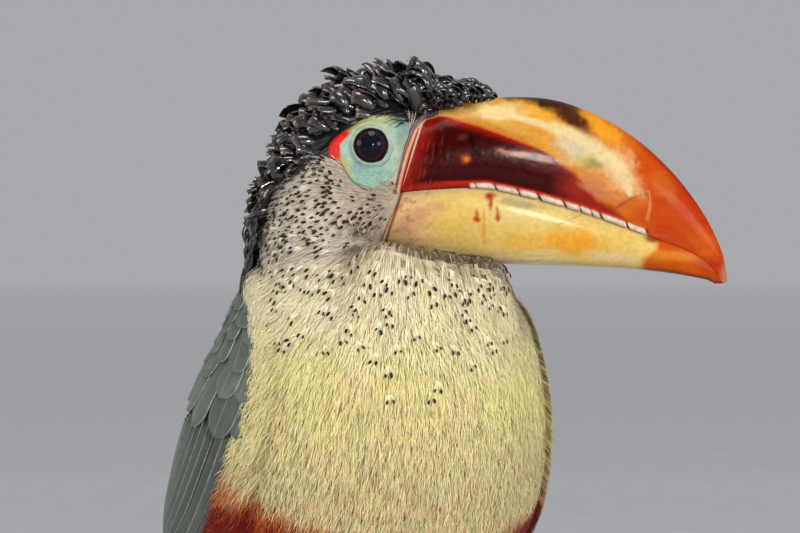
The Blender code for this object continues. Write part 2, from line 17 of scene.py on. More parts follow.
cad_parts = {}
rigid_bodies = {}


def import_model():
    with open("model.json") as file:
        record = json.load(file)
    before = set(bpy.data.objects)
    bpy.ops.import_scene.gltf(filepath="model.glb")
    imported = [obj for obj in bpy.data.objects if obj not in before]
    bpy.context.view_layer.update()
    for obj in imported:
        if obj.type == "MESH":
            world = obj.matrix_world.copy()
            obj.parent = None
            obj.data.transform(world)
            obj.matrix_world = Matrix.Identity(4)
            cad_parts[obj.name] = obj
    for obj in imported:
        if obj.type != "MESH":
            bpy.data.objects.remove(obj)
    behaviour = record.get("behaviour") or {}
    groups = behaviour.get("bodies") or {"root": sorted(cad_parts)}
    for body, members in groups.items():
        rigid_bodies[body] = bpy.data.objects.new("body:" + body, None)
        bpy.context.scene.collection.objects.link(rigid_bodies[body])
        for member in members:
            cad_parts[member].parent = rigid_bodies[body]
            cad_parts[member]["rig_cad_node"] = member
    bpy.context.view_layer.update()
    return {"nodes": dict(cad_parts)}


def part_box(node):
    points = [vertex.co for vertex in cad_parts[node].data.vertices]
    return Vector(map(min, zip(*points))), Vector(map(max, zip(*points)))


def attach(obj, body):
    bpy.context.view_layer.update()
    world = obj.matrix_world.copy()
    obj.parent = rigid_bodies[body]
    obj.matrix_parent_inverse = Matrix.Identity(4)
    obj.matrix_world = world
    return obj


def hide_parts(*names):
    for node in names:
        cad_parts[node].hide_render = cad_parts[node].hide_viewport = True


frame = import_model()

bl_info = {
    "name": "Aracari looks",
    "version": (1, 0, 0),
    "blender": (4, 5, 0),
    "location": "3D View > Sidebar > Aracari",
    "description": "Makes the skin, feathers, bill, eyes and legs of a life-size aracari",
    "category": "Object",
}

MM = 0.001


# ------------------------------------------------------------------ sizes shared with the part

HEAD_TURN = 68.0          # degrees that the head is turned to the bird's left
ROUNDNESS = 2.2           # exponent of the body's rings: 2 is an ellipse
EYE_LEVEL = 174.2         # mm above the floor
EYE_SHIFT = (-5.0, -2.3)  # mm from the body's axis to the point between the eyes
EYE_OUT, EYE_RADIUS = 14.6, 5.6  # mm from the head's middle to the eyeball's, and its radius

# The body's rings, from the tail coverts to the base of the bill: the turn of each in degrees,
# its front point and its back point as (ahead, height), and its half width, in mm.
RINGS = [
    (0, -112, 29, -113, 37, 10.5),
    (0, -92, 26.5, -100, 47, 17),
    (0, -66, 27, -87, 61, 26),
    (0, -38, 31, -76, 75, 36),
    (0, -12, 39, -66, 87, 42.5),
    (0, 11, 52, -57, 98, 45),
    (0, 27, 70, -48.5, 108, 45.5),
    (0, 36, 90, -41, 119, 43.5),
    (0, 39.5, 108, -35, 128, 40.5),
    (18, 39, 122, -33.5, 135.5, 38),
    (42, 38.5, 132, -33.5, 141.5, 35.5),
    (60, 35.5, 138, -32.5, 145.3, 31.5),
    (68, 28.5, 141, -32.2, 147.4, 28.5),
    (68, 17, 143, -32, 149.0, 26.5),
    (68, 8, 144.3, -31.6, 150.8, 25),
    (68, 2.2, 145.6, -30.6, 153.6, 24),
    (68, 1.2, 146.0, -28.9, 158.6, 23),
    (68, 0.9, 146.3, -25.6, 167, 22),
    (68, 1.2, 146.5, -20.6, 174.8, 21),
    (68, 1.7, 146.65, -13, 182.2, 20),
    (68, 2.3, 146.75, -3, 187, 19),
    (68, 2.8, 146.8, 7, 187.6, 18),
    (68, 3.3, 146.8, 15.6, 185.2, 16.8),
]
LAST_RING = len(RINGS) - 1

# The bill in the head's frame, in mm: matching points (ahead, up) on its ridge, its cutting edge
# and its keel, from the base to the tip, with the half width there.
BILL = [
    (15.5, 9.8, 8.7, -12.4, 3.9, -26.6, 16.0),
    (24.5, 12.2, 18.0, -11.6, 14.0, -29.8, 15.4),
    (36.5, 13.4, 31.0, -11.3, 28.5, -31.2, 14.4),
    (48.5, 12.8, 43.5, -13.9, 43.0, -31.8, 13.0),
    (60.0, 9.0, 55.5, -17.2, 57.5, -32.2, 11.2),
    (71.5, 2.2, 67.0, -21.1, 70.0, -32.9, 9.2),
    (81.5, -7.0, 77.0, -24.8, 80.0, -34.0, 7.0),
    (89.5, -17.6, 85.5, -28.0, 87.3, -35.2, 4.6),
    (94.6, -28.0, 91.0, -31.6, 91.0, -36.0, 2.4),
    (96.2, -36.4, 95.0, -36.9, 92.6, -36.9, 0.7),
]
TOMIUM_GAP = 0.35         # mm between the closed upper and lower bill

# The folded wing, from the shoulder to the tip: the body's ring, the degrees from the breast's
# middle of its front and back edges, and its depth in mm.
WING = [
    (9.6, 90, 122, 1.2),
    (8.8, 80, 146, 2.6),
    (7.9, 74, 156, 3.8),
    (6.9, 72, 160, 4.6),
    (5.8, 73, 162, 5.0),
    (4.7, 77, 164, 5.0),
    (3.6, 85, 166, 4.7),
    (2.5, 98, 168, 4.2),
    (1.4, 118, 168, 3.4),
    (0.35, 142, 166, 2.2),
]

# The legs, in mm: where the toes meet, the heel from there, and the knee. The thigh's radii are
# at shares of the way from the heel to the knee.
FOOT_AHEAD, FOOT_OUT = -14.0, 21.0
HEEL_BACK, HEEL_UP, HEEL_IN = 18.0, 25.0, 1.5
KNEE_OUT, KNEE_FORWARD, KNEE_UP = 24.0, 3.0, 66.0
THIGH_AT = (0, 0.07, 0.25, 0.5, 0.75, 1.0)
THIGH_RADII = (3.4, 4.6, 7.2, 10.5, 13.5, 15.0)

TAIL_LENGTHS = (154, 135, 123, 110, 96)   # mm beyond the rump, from the middle pair outwards
TAIL_ROOT = (0, 113.9, 35.4)
TAIL_DROP = 146.0         # mm along which the tail comes down to the floor
TAIL_VANE = 12.5          # mm across a feather
TAIL_STEP = 1.1           # mm that each feather lies beside the one before
TAIL_SPREAD = 1.1         # degrees that each turns away from it
VANE_THICKNESS, VANE_GAP = 0.9, 0.5
SHAFT_AT = 0.42           # where a tail feather's shaft lies across it
TAIL_ROOF = 0.005         # fall of the tail beside its middle, per mm squared


# ------------------------------------------------------------------ small helpers


def eye_middle():
    """The point between the eyes."""
    corners = [corner for side in ("left", "right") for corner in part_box("eye_" + side)]
    return np.array(sum(corners, Vector()) / len(corners))


HEAD = eye_middle()
SHIFT = HEAD / MM - np.array([*EYE_SHIFT, EYE_LEVEL])


def mix(a, b, share):
    share = np.asarray(share, float)
    if share.ndim == 1:
        share = share[:, None]
    return np.asarray(a) * (1 - share) + np.asarray(b) * share


def ease(x, low, high):
    """0 below low, 1 above high, and smooth between."""
    t = np.clip((np.asarray(x, float) - low) / (high - low), 0, 1)
    return t * t * (3 - 2 * t)


def unit(vectors):
    length = np.linalg.norm(vectors, axis=-1, keepdims=True)
    return vectors / np.maximum(length, 1e-12)


def hump(x, middle, width):
    """1 at the middle, falling smoothly to 0 over a few widths."""
    return np.exp(-(((x - middle) / width) ** 2))


def layered(colour, *layers):
    """A colour with others laid over it in turn, each given with its share."""
    for over, share in layers:
        colour = mix(colour, over, share)
    return colour


def grid_quads(rows, columns, around=True):
    """The faces of a grid of points, whose last column may join its first."""
    index = np.arange(rows * columns).reshape(rows, columns)
    if around:
        index = np.concatenate([index, index[:, :1]], axis=1)
    corners = [index[:-1, :-1], index[:-1, 1:], index[1:, 1:], index[1:, :-1]]
    return np.stack(corners, axis=-1).reshape(-1, 4)


def rows_at(table, at):
    """Rows of a table of sizes at fractional places, on a smooth curve through them."""
    table = np.asarray(table, float)
    at = np.clip(np.asarray(at, float), 0, len(table) - 1)
    k = np.clip(np.floor(at).astype(int), 0, len(table) - 2)
    t = (at - k)[..., None]
    before, start = table[np.maximum(k - 1, 0)], table[k]
    end, after = table[k + 1], table[np.minimum(k + 2, len(table) - 1)]
    return (
        start * (2 * t**3 - 3 * t**2 + 1)
        + (end - before) / 2 * (t**3 - 2 * t**2 + t)
        + end * (3 * t**2 - 2 * t**3)
        + (after - start) / 2 * (t**3 - t**2)
    )


def cloud(points, size, seed):
    """Smooth random values from 0 to 1, in blobs about size across."""
    scaled = np.asarray(points, float) / size
    base = np.floor(scaled).astype(np.int64)
    part = scaled - base
    part = part * part * (3 - 2 * part)
    total = np.zeros(len(scaled))
    for corner in np.ndindex(*(2,) * scaled.shape[1]):
        at = base + np.array(corner)
        key = np.full(len(at), seed * 7919 + 17, np.int64)
        for axis, prime in enumerate((73856093, 19349663, 83492791)[: scaled.shape[1]]):
            key ^= at[:, axis] * prime
        key &= 0xFFFFFFFF
        key = ((key ^ (key >> 13)) * 1274126177) & 0xFFFFFFFF
        key = ((key ^ (key >> 15)) * 668265263) & 0xFFFFFFFF
        value = ((key >> 8) & 0xFFFF) / 0xFFFF
        weight = np.prod(np.where(np.array(corner) == 1, part, 1 - part), axis=1)
        total += value * weight
    return total


def streaks(points, size, seed):
    """Two sizes of cloud added together, still from 0 to 1."""
    return 0.65 * cloud(points, size, seed) + 0.35 * cloud(points, np.asarray(size) * 0.45, seed + 5)


def mottling(size, seed, *places):
    """Streaks from -0.5 to 0.5, at places given by each of their coordinates."""
    flat = np.stack([np.ravel(place) for place in places], -1)
    return streaks(flat, size, seed).reshape(np.shape(places[0])) - 0.5


def facing(turn):
    """The level direction that is `turn` degrees to the left of the body's front."""
    a = np.radians(turn)
    return np.stack([np.sin(a), -np.cos(a), np.zeros_like(a)], axis=-1)


def leftward(turn):
    a = np.radians(turn)
    return np.stack([np.cos(a), np.sin(a), np.zeros_like(a)], axis=-1)


AHEAD = facing(np.float64(HEAD_TURN))
LEFT = leftward(np.float64(HEAD_TURN))
UP = np.array([0.0, 0.0, 1.0])


def to_head(points):
    """(ahead, left, up) of points, in mm from between the eyes."""
    offset = (np.asarray(points) - HEAD) / MM
    return np.stack([offset @ AHEAD, offset @ LEFT, offset @ UP], axis=-1)


def from_head(ahead, left, up):
    ahead, left, up = np.broadcast_arrays(ahead, left, up)
    offset = ahead[..., None] * AHEAD + left[..., None] * LEFT + up[..., None] * UP
    return HEAD + offset * MM


def in_body(points):
    """Points given in mm in the body's own frame, in the model's frame."""
    return (np.asarray(points, float) + SHIFT) * MM


# ------------------------------------------------------------------ the body's surface


def rounded(value):
    return np.sign(value) * np.abs(value) ** (2 / ROUNDNESS)


def in_plane(turn, ahead, height):
    share = turn / HEAD_TURN
    axis = np.stack([EYE_SHIFT[0] * share, EYE_SHIFT[1] * share, height], axis=-1)
    return axis + facing(turn) * ahead[..., None]


def body_surface(ring, angle):
    """The body at a ring, `angle` degrees to the left of the body's front."""
    sizes = rows_at(RINGS, ring)
    turn, front_ahead, front_up, back_ahead, back_up, side = np.moveaxis(sizes, -1, 0)
    front = in_plane(turn, front_ahead, front_up)
    back = in_plane(turn, back_ahead, back_up)
    a = np.radians(angle - turn)
    ahead = (front - back) / 2 * rounded(np.cos(a))[..., None]
    across = leftward(turn) * (side * rounded(np.sin(a)))[..., None]
    return in_body((front + back) / 2 + ahead + across)


class Chart:
    """A surface given by a grid of places whose columns go right round."""

    def __init__(self, places):
        self.places = places
        self.down = np.gradient(places, axis=0)
        self.round = (np.roll(places, -1, 1) - np.roll(places, 1, 1)) / 2
        normals = unit(np.cross(self.round, self.down))
        outward = places - places.mean(1, keepdims=True)
        if (normals * outward).sum() < 0:
            normals = -normals
        self.normals = normals

    def take(self, grid, row, column):
        """Values of a grid between its rows and columns."""
        rows, columns = grid.shape[:2]
        row = np.clip(row, 0, rows - 1.001)
        r, c = np.floor(row).astype(int), np.floor(column).astype(int)
        a, b = (row - r)[..., None], (column - c)[..., None]
        c0, c1 = c % columns, (c + 1) % columns
        low = grid[r, c0] * (1 - b) + grid[r, c1] * b
        high = grid[r + 1, c0] * (1 - b) + grid[r + 1, c1] * b
        return low * (1 - a) + high * a

    def place(self, row, column):
        return self.take(self.places, row, column)

    def normal(self, row, column):
        return unit(self.take(self.normals, row, column))

    def steps(self, row, column, vectors):
        """How many rows and columns a small move along the surface is."""
        down, across = self.take(self.down, row, column), self.take(self.round, row, column)
        dd, ac, da = (down * down).sum(-1), (across * across).sum(-1), (down * across).sum(-1)
        vd, va = (vectors * down).sum(-1), (vectors * across).sum(-1)
        size = np.maximum(dd * ac - da * da, 1e-18)
        return (vd * ac - va * da) / size, (va * dd - vd * da) / size

    def roots(self, spacing, rng, allowed):
        """Evenly strewn places, as rows and columns. spacing(row, column, place) is in metres."""
        columns = self.places.shape[1]
        area = np.linalg.norm(np.cross(self.down, self.round), axis=-1)[:-1]
        share = np.cumsum(area.ravel())
        closest = 0.8 * MM
        tries = int(share[-1] / closest**2)
        cell = np.searchsorted(share, rng.random(tries) * share[-1])
        row = cell // columns + rng.random(tries)
        column = cell % columns + rng.random(tries)
        place = self.place(row, column)
        keep = allowed(row, column, place)
        row, column, place = row[keep], column[keep], place[keep]
        gap = spacing(row, column, place)
        kept, taken, cell_size = [], {}, 3.2 * MM
        cells = np.floor(place / cell_size).astype(int).tolist()
        for i, (spot, limit, cell) in enumerate(zip(place.tolist(), (gap * gap).tolist(), cells)):
            x, y, z = spot
            beside = itertools.product(*((k - 1, k, k + 1) for k in cell))
            near = (other for key in beside for other in taken.get(key, ()))
            if all((x - a) ** 2 + (y - b) ** 2 + (z - c) ** 2 >= limit for a, b, c in near):
                kept.append(i)
                taken.setdefault(tuple(cell), []).append(spot)
        kept = np.array(kept, int)
        return row[kept], column[kept]


BODY_ROWS, BODY_COLUMNS = 250, 184


def smoothed(places, weight, times):
    """A grid with its places drawn towards their neighbours' middle."""
    for _ in range(times):
        middle = places.copy()
        middle[1:-1] = (places[:-2] + places[2:]) / 2
        around = (np.roll(places, 1, 1) + np.roll(places, -1, 1)) / 2
        places = places + ((middle + around) / 2 - places) * weight
    return places


def body_chart():
    """The outline out to the tips of the feathers, with rows evenly far apart."""
    fine = np.linspace(0, LAST_RING, 1200)
    angles = np.arange(16) * 22.5
    lines = body_surface(*np.meshgrid(fine, angles, indexing="ij"))
    moved = np.linalg.norm(np.diff(lines, axis=0), axis=-1).mean(1)
    travelled = np.concatenate([[0], np.cumsum(moved)])
    rings = np.interp(np.linspace(0, travelled[-1], BODY_ROWS), travelled, fine)
    angles = np.arange(BODY_COLUMNS) * 360 / BODY_COLUMNS
    ring, angle = np.meshgrid(rings, angles, indexing="ij")
    places = body_surface(ring, angle)
    bend = ease(rings, 6.5, 9) * (1 - ease(rings, 15.5, 18))
    places = smoothed(places, 0.9 * bend[:, None, None], 110)
    return Chart(places), rings


OUTLINE, BODY_RINGS = body_chart()


def ring_of(row):
    return np.interp(row, np.arange(BODY_ROWS), BODY_RINGS)


def row_of(ring):
    return np.interp(ring, BODY_RINGS, np.arange(BODY_ROWS))


def angle_of(column):
    """Degrees from the body's front, from -180 to 180, positive to the bird's left."""
    return (column * 360 / BODY_COLUMNS + 180) % 360 - 180


def column_of(angle):
    return angle * BODY_COLUMNS / 360


def behind_of(ring, angle):
    """Degrees from the middle of the back."""
    turn = rows_at(RINGS, ring)[:, 0]
    return np.abs((angle - turn + 360) % 360 - 180)


# ------------------------------------------------------------------ markings

# The edge of the black cap: mm above the eye, and mm ahead of it where the black ends.
CAP_EDGE = (
    (-45, -34), (-34.8, -31), (-27.8, -29), (-21, -26.6), (-13.8, -25.6), (-10.8, -24.4),
    (-8.1, -21.6), (-4.9, -17.6), (-3.6, -13.6), (-2, -10.4), (0, -8.2), (2, -6.8), (4, -4.8),
    (6, -1.5), (7.2, 3), (7.8, 8),
)
CAP_OVER_EYE = 6.8
MIDDLE = SHIFT[0] * MM    # the plane between the body's left and right


def cap_share(points, soft=1.2):
    """1 in the black cap and nape, 0 outside it."""
    ahead, _, up = to_head(points).T
    heights, edges = np.array(CAP_EDGE).T
    behind = ease(np.interp(up, heights, edges) - ahead, -soft, soft)
    over = ease(up, CAP_OVER_EYE - soft / 2, CAP_OVER_EYE + soft / 2)
    return np.maximum(behind, over) * ease(up, -52, -44)


def plumage(points, ring, angle):
    """The colour of the feathers rooted at these places."""
    shade = bpy.context.scene.aracari
    points = np.asarray(points)
    z = points[:, 2] / MM
    x = points[:, 0] - MIDDLE
    ahead, _, up = to_head(points).T
    blur = streaks(points, 9 * MM, 1) - 0.5
    fine = streaks(points, 3 * MM, 2) - 0.5
    under_bill = ease(ahead, -14, 0) * ease(up, -52, -36) * (0.55 + 0.5 * fine)
    face_pink = 0.5 * ease(ahead, -12, -3) * ease(up, -30, -20)
    band = 63 + 24 * (np.abs(x) / (45 * MM)) ** 2 + 12 * blur + 6 * fine
    front = layered(
        shade.breast_colour,
        (shade.straw_colour, ease(blur + 0.3 * fine, -0.2, 0.2)),
        (shade.pale_colour, ease(z + 10 * blur, 104, 88) * 0.7),
        (shade.neck_colour, ease(z + 12 * blur, 112, 136)),
        (shade.throat_colour, under_bill),
        (shade.cheek_colour, ease(up, -38, -26)),
        (shade.throat_colour, face_pink),
        (shade.flame_colour, ease(band - z, -5, 1)),
        (shade.band_colour, ease(band - z, 0, 3) * ease(z - band, -27, -22)),
        (shade.belly_colour, ease(band - z, 23, 27)),
    )
    back = layered(
        shade.back_colour,
        (shade.mantle_colour, ease(ring + 2 * fine, 7.0, 8.2)),
        (shade.black_colour, ease(ring + 1.5 * fine, 9.0, 9.9)),
        (shade.rump_colour, ease(ring + fine, 4.3, 3.4)),
    )
    half = np.interp(ring, [0, 1, 3, 7, 9, 10.5, 12.5], [62, 62, 62, 66, 58, 36, 26])
    on_back = ease(half - behind_of(ring, angle) + 8 * fine, -3, 3)
    colour = layered(front, (back, on_back), (shade.black_colour, cap_share(points)))
    return colour * (1 + 0.22 * fine[:, None])


def dotted(points):
    """The share of feathers with black tips there."""
    ahead, _, up = to_head(points).T
    z = points[:, 2] / MM
    share = np.interp(z, [108, 116, 123, 131, 140, 150], [0, 0.03, 0.09, 0.28, 0.55, 1.0])
    cluster = ease(np.hypot((ahead - 31) / 10, (up + 38) / 6), 1.5, 0.7)
    clear = ease(np.hypot((ahead - 4) / 13, (up + 28) / 8), 0.7, 1.2)
    bare = ease(ahead - 0.35 * (up + 12), -9, -4) * ease(up, -30, -24)
    return np.clip(share * (0.04 + 0.96 * clear) * (1 - 0.3 * bare) + 0.9 * cluster, 0, 1)


# ------------------------------------------------------------------ building meshes


def finish_mesh(name, points, faces, *finishes):
    """A smooth piece made of points and faces."""
    mesh = bpy.data.meshes.new(name)
    mesh.from_pydata([tuple(p) for p in np.asarray(points).tolist()], [], faces)
    mesh.shade_smooth()
    return place_object(name, mesh, finishes)


def place_object(name, mesh, finishes):
    old = bpy.data.objects.get(name)
    if old is not None and "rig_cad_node" not in old:
        bpy.data.objects.remove(old)
    obj = bpy.data.objects.new(name, mesh)
    bpy.context.scene.collection.objects.link(obj)
    for finish in finishes:
        mesh.materials.append(finish)
    return obj


def paint(mesh, colours):
    """Gives each point its own colour."""
    whole = np.ones((len(colours), 4), np.float32)
    whole[:, :3] = np.clip(colours, 0, 1)
    layer = mesh.color_attributes.new("plumage", "FLOAT_COLOR", "POINT")
    layer.data.foreach_set("color", whole.ravel())


def indices(items, kind):
    """One whole number of each of a mesh's corners or faces."""
    values = np.zeros(len(items), np.int32)
    items.foreach_get(kind, values)
    return values


def lay_map(mesh, name, places):
    """Gives each point its place on a map."""
    corners = indices(mesh.loops, "vertex_index")
    layer = mesh.uv_layers.new(name=name)
    layer.data.foreach_set("uv", np.asarray(places, np.float32)[corners].ravel())


class Pile:
    """Collects many small strips, each a grid of places, into one mesh."""

    def __init__(self):
        self.parts = [[], [], [], [], []]
        self.count = 0

    def add(self, places, colours, roots, closed=False):
        """places is (strips, rows, columns, 3), colours the same, and roots (strips, 2) on the map."""
        strips, rows, columns = places.shape[:3]
        if not strips:
            return
        offset = self.count + np.arange(strips)[:, None, None] * rows * columns
        down, across = np.linspace(0, 1, rows), np.linspace(0, 1, columns)
        patch = np.stack(np.meshgrid(across, down), axis=-1)
        patch = np.asarray(roots)[:, None, None, :] + (patch[None] - 0.5) * PATCH
        if closed:
            across = np.linspace(0, 1, columns // 2)
            across = np.concatenate([across, across[::-1]])
        vane = np.stack(np.meshgrid(across, down), axis=-1)
        more = (
            places,
            grid_quads(rows, columns, closed) + offset,
            np.broadcast_to(colours, places.shape),
            np.broadcast_to(vane, (strips, rows, columns, 2)),
            patch,
        )
        for part, some in zip(self.parts, more):
            part.append(some.reshape(-1, some.shape[-1]))
        self.count += strips * rows * columns

    def make(self, name, *finishes):
        places, faces, colours, vane, bake = (np.concatenate(part) for part in self.parts)
        mesh = bpy.data.meshes.new(name)
        mesh.vertices.add(len(places))
        mesh.vertices.foreach_set("co", places.astype(np.float32).ravel())
        mesh.loops.add(faces.size)
        mesh.loops.foreach_set("vertex_index", faces.astype(np.int32).ravel())
        mesh.polygons.add(len(faces))
        mesh.polygons.foreach_set("loop_start", np.arange(len(faces), dtype=np.int32) * 4)
        mesh.update(calc_edges=True)
        mesh.shade_smooth()
        lay_map(mesh, "OFBake", bake)
        lay_map(mesh, "vane", vane)
        paint(mesh, colours)
        return place_object(name, mesh, finishes)


PATCH = 0.003             # width of a tuft's patch on the map


def map_place(row, column):
    """Where a root lies on the unwrap of the body: round it, and along it."""
    turn = rows_at(RINGS, ring_of(row))[:, 0]
    around = ((column * 360 / BODY_COLUMNS - turn) % 360) / 360
    along = row / (BODY_ROWS - 1)
    return np.stack([0.01 + 0.98 * around, 0.01 + 0.98 * along], axis=-1)


# ------------------------------------------------------------------ finishes


class Finish:
    """A material made of nodes, with the shader at hand."""

    def __init__(self, name, **values):
        self.made = bpy.data.materials.get(name) or bpy.data.materials.new(name)
        self.made.use_nodes = True
        self.tree = self.made.node_tree
        self.tree.nodes.clear()
        self.shader = self.node("BsdfPrincipled", **values)
        self.node("OutputMaterial", Surface=self.shader.outputs["BSDF"])

    def put(self, socket, value):
        """Joins a socket to another, or sets its value."""
        if isinstance(value, bpy.types.NodeSocket):
            self.tree.links.new(value, socket)
        else:
            socket.default_value = value

    def node(self, kind, *first, **values):
        """A node with its first sockets, its settings and its named sockets filled in."""
        made = self.tree.nodes.new("ShaderNode" + kind)
        for key, value in values.items():
            if hasattr(made, key):
                setattr(made, key, value)
            else:
                self.put(made.inputs[key.replace("_", " ")], value)
        for socket, value in zip(made.inputs, first):
            self.put(socket, value)
        return made

    def place(self, stretch=(1, 1, 1)):
        """Object coordinates, stretched."""
        return self.stretched(self.node("TexCoord").outputs["Object"], stretch)

    def on_vane(self):
        """Across and along each feather."""
        return self.node("UVMap", uv_map="vane").outputs["UV"]

    def stretched(self, place, stretch):
        return self.node("Mapping", Vector=place, Scale=stretch).outputs["Vector"]

    def noise(self, size, where=None, detail=3.0, rough=0.55):
        """Noise with lumps about `size` mm across."""
        where = where or self.place()
        scale = 1 / (size * MM)
        made = self.node("TexNoise", Vector=where, Scale=scale, Detail=detail, Roughness=rough)
        return made.outputs["Fac"]

    def barbs(self, *stretch):
        """Noise drawn out along each feather."""
        return self.noise(1 / MM, self.stretched(self.on_vane(), (*stretch, 1)), 2.0)

    def cells(self, size, where, reach, uneven, feature="F1"):
        """Rounded cells about `size` mm across, from 0 to 1 over a reach of their distance."""
        made = self.node(
            "TexVoronoi", feature=feature, Vector=where, Scale=1 / (size * MM), Randomness=uneven
        )
        return self.spread(made.outputs["Distance"], 0, 1, 0.0, reach)

    def spread(self, value, low, high, from_low=0.3, from_high=0.7):
        """A value brought from one range to another."""
        ends = {"From_Min": from_low, "From_Max": from_high, "To_Min": low, "To_Max": high}
        return self.node("MapRange", Value=value, **ends).outputs["Result"]

    def math(self, operation, *values):
        return self.node("Math", *values, operation=operation).outputs[0]

    def painted(self, *tones):
        """The piece's own colour, made lighter and darker by values round 1."""
        colour = self.node("Attribute", attribute_name="plumage").outputs["Color"]
        for tone in tones:
            made = self.node("VectorMath", colour, operation="SCALE", Scale=tone)
            colour = made.outputs["Vector"]
        return colour

    def between(self, share, a, b):
        """A mix of two colours."""
        made = self.node("Mix", share, data_type="RGBA")
        ends = [socket for socket in made.inputs if socket.type == "RGBA"]
        for socket, colour in zip(ends, (a, b)):
            self.put(socket, (*colour, 1) if isinstance(colour, tuple) else colour)
        return [socket for socket in made.outputs if socket.type == "RGBA"][0]

    def done(self, colour, rough, *bumps):
        """The material, with its colour, roughness and bumps of (height, mm, strength)."""
        self.put(self.shader.inputs["Base Color"], colour)
        self.put(self.shader.inputs["Roughness"], rough)
        below = {}
        for height, depth, strength in bumps:
            bump = self.node("Bump", Height=height, Distance=depth * MM, Strength=strength, **below)
            below = {"Normal": bump.outputs["Normal"]}
            self.put(self.shader.inputs["Normal"], below["Normal"])
        return self.made


def feather_finish(name, low=0.5, high=0.75):
    """Barbs along the feather in colour and bump."""
    finish = Finish(name, Sheen_Weight=0.05, Sheen_Roughness=0.4, Specular_IOR_Level=0.15)
    barbs = finish.barbs(34, 3)
    rough = finish.spread(finish.noise(2.5), low, high)
    return finish.done(finish.painted(finish.spread(barbs, 0.8, 1.2)), rough, (barbs, 0.18, 0.8))


def skin_finish():
    """Bare feathered skin under the coat, with fine pits."""
    finish = Finish("feather_skin", Sheen_Weight=0.1)
    pits = finish.noise(0.8)
    rough = finish.spread(finish.noise(3), 0.65, 0.85)
    return finish.done(finish.painted(finish.spread(pits, 0.7, 1.0)), rough, (pits, 0.3, 0.6))


def leg_finish():
    """Scales on the shanks and toes."""
    finish = Finish("leg_scales")
    edge = finish.cells(1.7, finish.place((1, 1, 1.15)), 0.12, 0.7, "DISTANCE_TO_EDGE")
    mottled = finish.spread(finish.noise(2.2), 0.78, 1.2)
    colour = finish.painted(mottled, finish.spread(edge, 0.55, 1.0, 0, 1))
    rough = finish.spread(finish.noise(1.2), 0.38, 0.62)
    return finish.done(colour, rough, (edge, 0.16, 0.9), (finish.noise(0.35), 0.03, 0.6))


# ------------------------------------------------------------------ skin


def coat_depth(points, ring):
    """Millimetres between the tips of the feathers and the skin."""
    ahead, left, up = to_head(points).T
    depth = np.interp(ring, [0, 2, 6, 10, 13, 16, LAST_RING], [1.6, 2.4, 2.6, 2.2, 1.5, 1.1, 0.8])
    near_eye = np.hypot(ahead - 1.6, up + 1.4)
    bare = (ring > 15) & (np.abs(left) > 8)
    under_lids = 2.2 * ease(np.hypot(ahead, up), 7.5, 5.2)
    depth = np.where(bare, depth * (0.3 + 0.7 * ease(near_eye, 9, 15)) + under_lids, depth)
    bill_side = ease(ahead, -4, 6) * ease(ring, 14.5, 16)
    return depth * (1 - 0.75 * bill_side)


def skin_chart():
    row = np.arange(BODY_ROWS)
    ring = np.repeat(ring_of(row)[:, None], BODY_COLUMNS, axis=1)
    places = OUTLINE.places
    depth = coat_depth(places.reshape(-1, 3), ring.ravel()).reshape(ring.shape)
    return Chart(places - OUTLINE.normals * depth[..., None] * MM)


SKIN = skin_chart()


def fluff_chart():
    """The skin with the hollow under the head filled, where feathers stand out from it."""
    bend = ease(BODY_RINGS, 7, 10) * (1 - ease(BODY_RINGS, 16, 19))
    even = smoothed(OUTLINE.places, 0.9 * bend[:, None, None], 420)
    fill = ((even - OUTLINE.places) * OUTLINE.normals).sum(-1, keepdims=True)
    fill = smoothed(np.clip(fill, 0, 6 * MM), 0.9, 20)
    ahead, left, up = np.moveaxis(to_head(OUTLINE.places), -1, 0)
    keel = np.interp(ahead, (-8, 3.9, 14, 28.5, 43), (-25.6, -25.8, -28.6, -30.6, -32.2))
    room = np.clip(keel - up, 0, 12) * ease(ahead, -8, 1) * ease(ahead, 41, 35)
    room *= ease(left, 22, 4)
    room *= ease(up, -52, -43) * (ease(BODY_RINGS, 7.5, 9) * ease(BODY_RINGS, 14, 12.5))[:, None]
    room = smoothed(room[..., None], 0.9, 8)[..., 0]
    rings, front, _, _ = np.array(WING)[::-1].T
    around = np.arange(BODY_COLUMNS) * 360 / BODY_COLUMNS
    before = np.interp(BODY_RINGS, rings, front)[:, None] - np.minimum(around, 360 - around)
    ramp = ease(before, 30, 3) * ease(before, -10, -3)
    ramp *= (ease(BODY_RINGS, 0.6, 2) * ease(BODY_RINGS, 10.4, 9))[:, None]
    fill = fill + 2.0 * MM * ramp[..., None]
    return Chart(SKIN.places + OUTLINE.normals * fill + UP * room[..., None] * MM)


FLUFF = fluff_chart()


def fluff_gap(row, column):
    """How far the raised feathers stand from the skin, in metres."""
    return np.linalg.norm(FLUFF.place(row, column) - SKIN.place(row, column), axis=-1)


def add_down(pile):
    """Short down that closes the raised feathers from inside, in small squares."""
    across = 200
    rows = np.linspace(row_of(0.8), row_of(15.0), 190)
    row = np.repeat((rows[:-1] + rows[1:])[:, None] / 2, across, 1).ravel()
    turns = (np.arange(across) + 0.5) * BODY_COLUMNS / across
    column = np.repeat(turns[None], len(rows) - 1, 0).ravel()
    deep = fluff_gap(row, column) > 1.1 * MM
    row, column = row[deep], column[deep]
    ends = np.array([-0.5, 0.5])
    at_row = row[:, None, None] + (rows[1] - rows[0]) * ends[:, None] + np.zeros((1, 1, 2))
    at_column = column[:, None, None] + BODY_COLUMNS / across * ends + np.zeros((1, 2, 1))
    places = FLUFF.place(at_row, at_column) - FLUFF.normal(at_row, at_column) * 0.7 * MM
    pile.add(places, body_colour(row, column)[:, None, None], map_place(row, column))


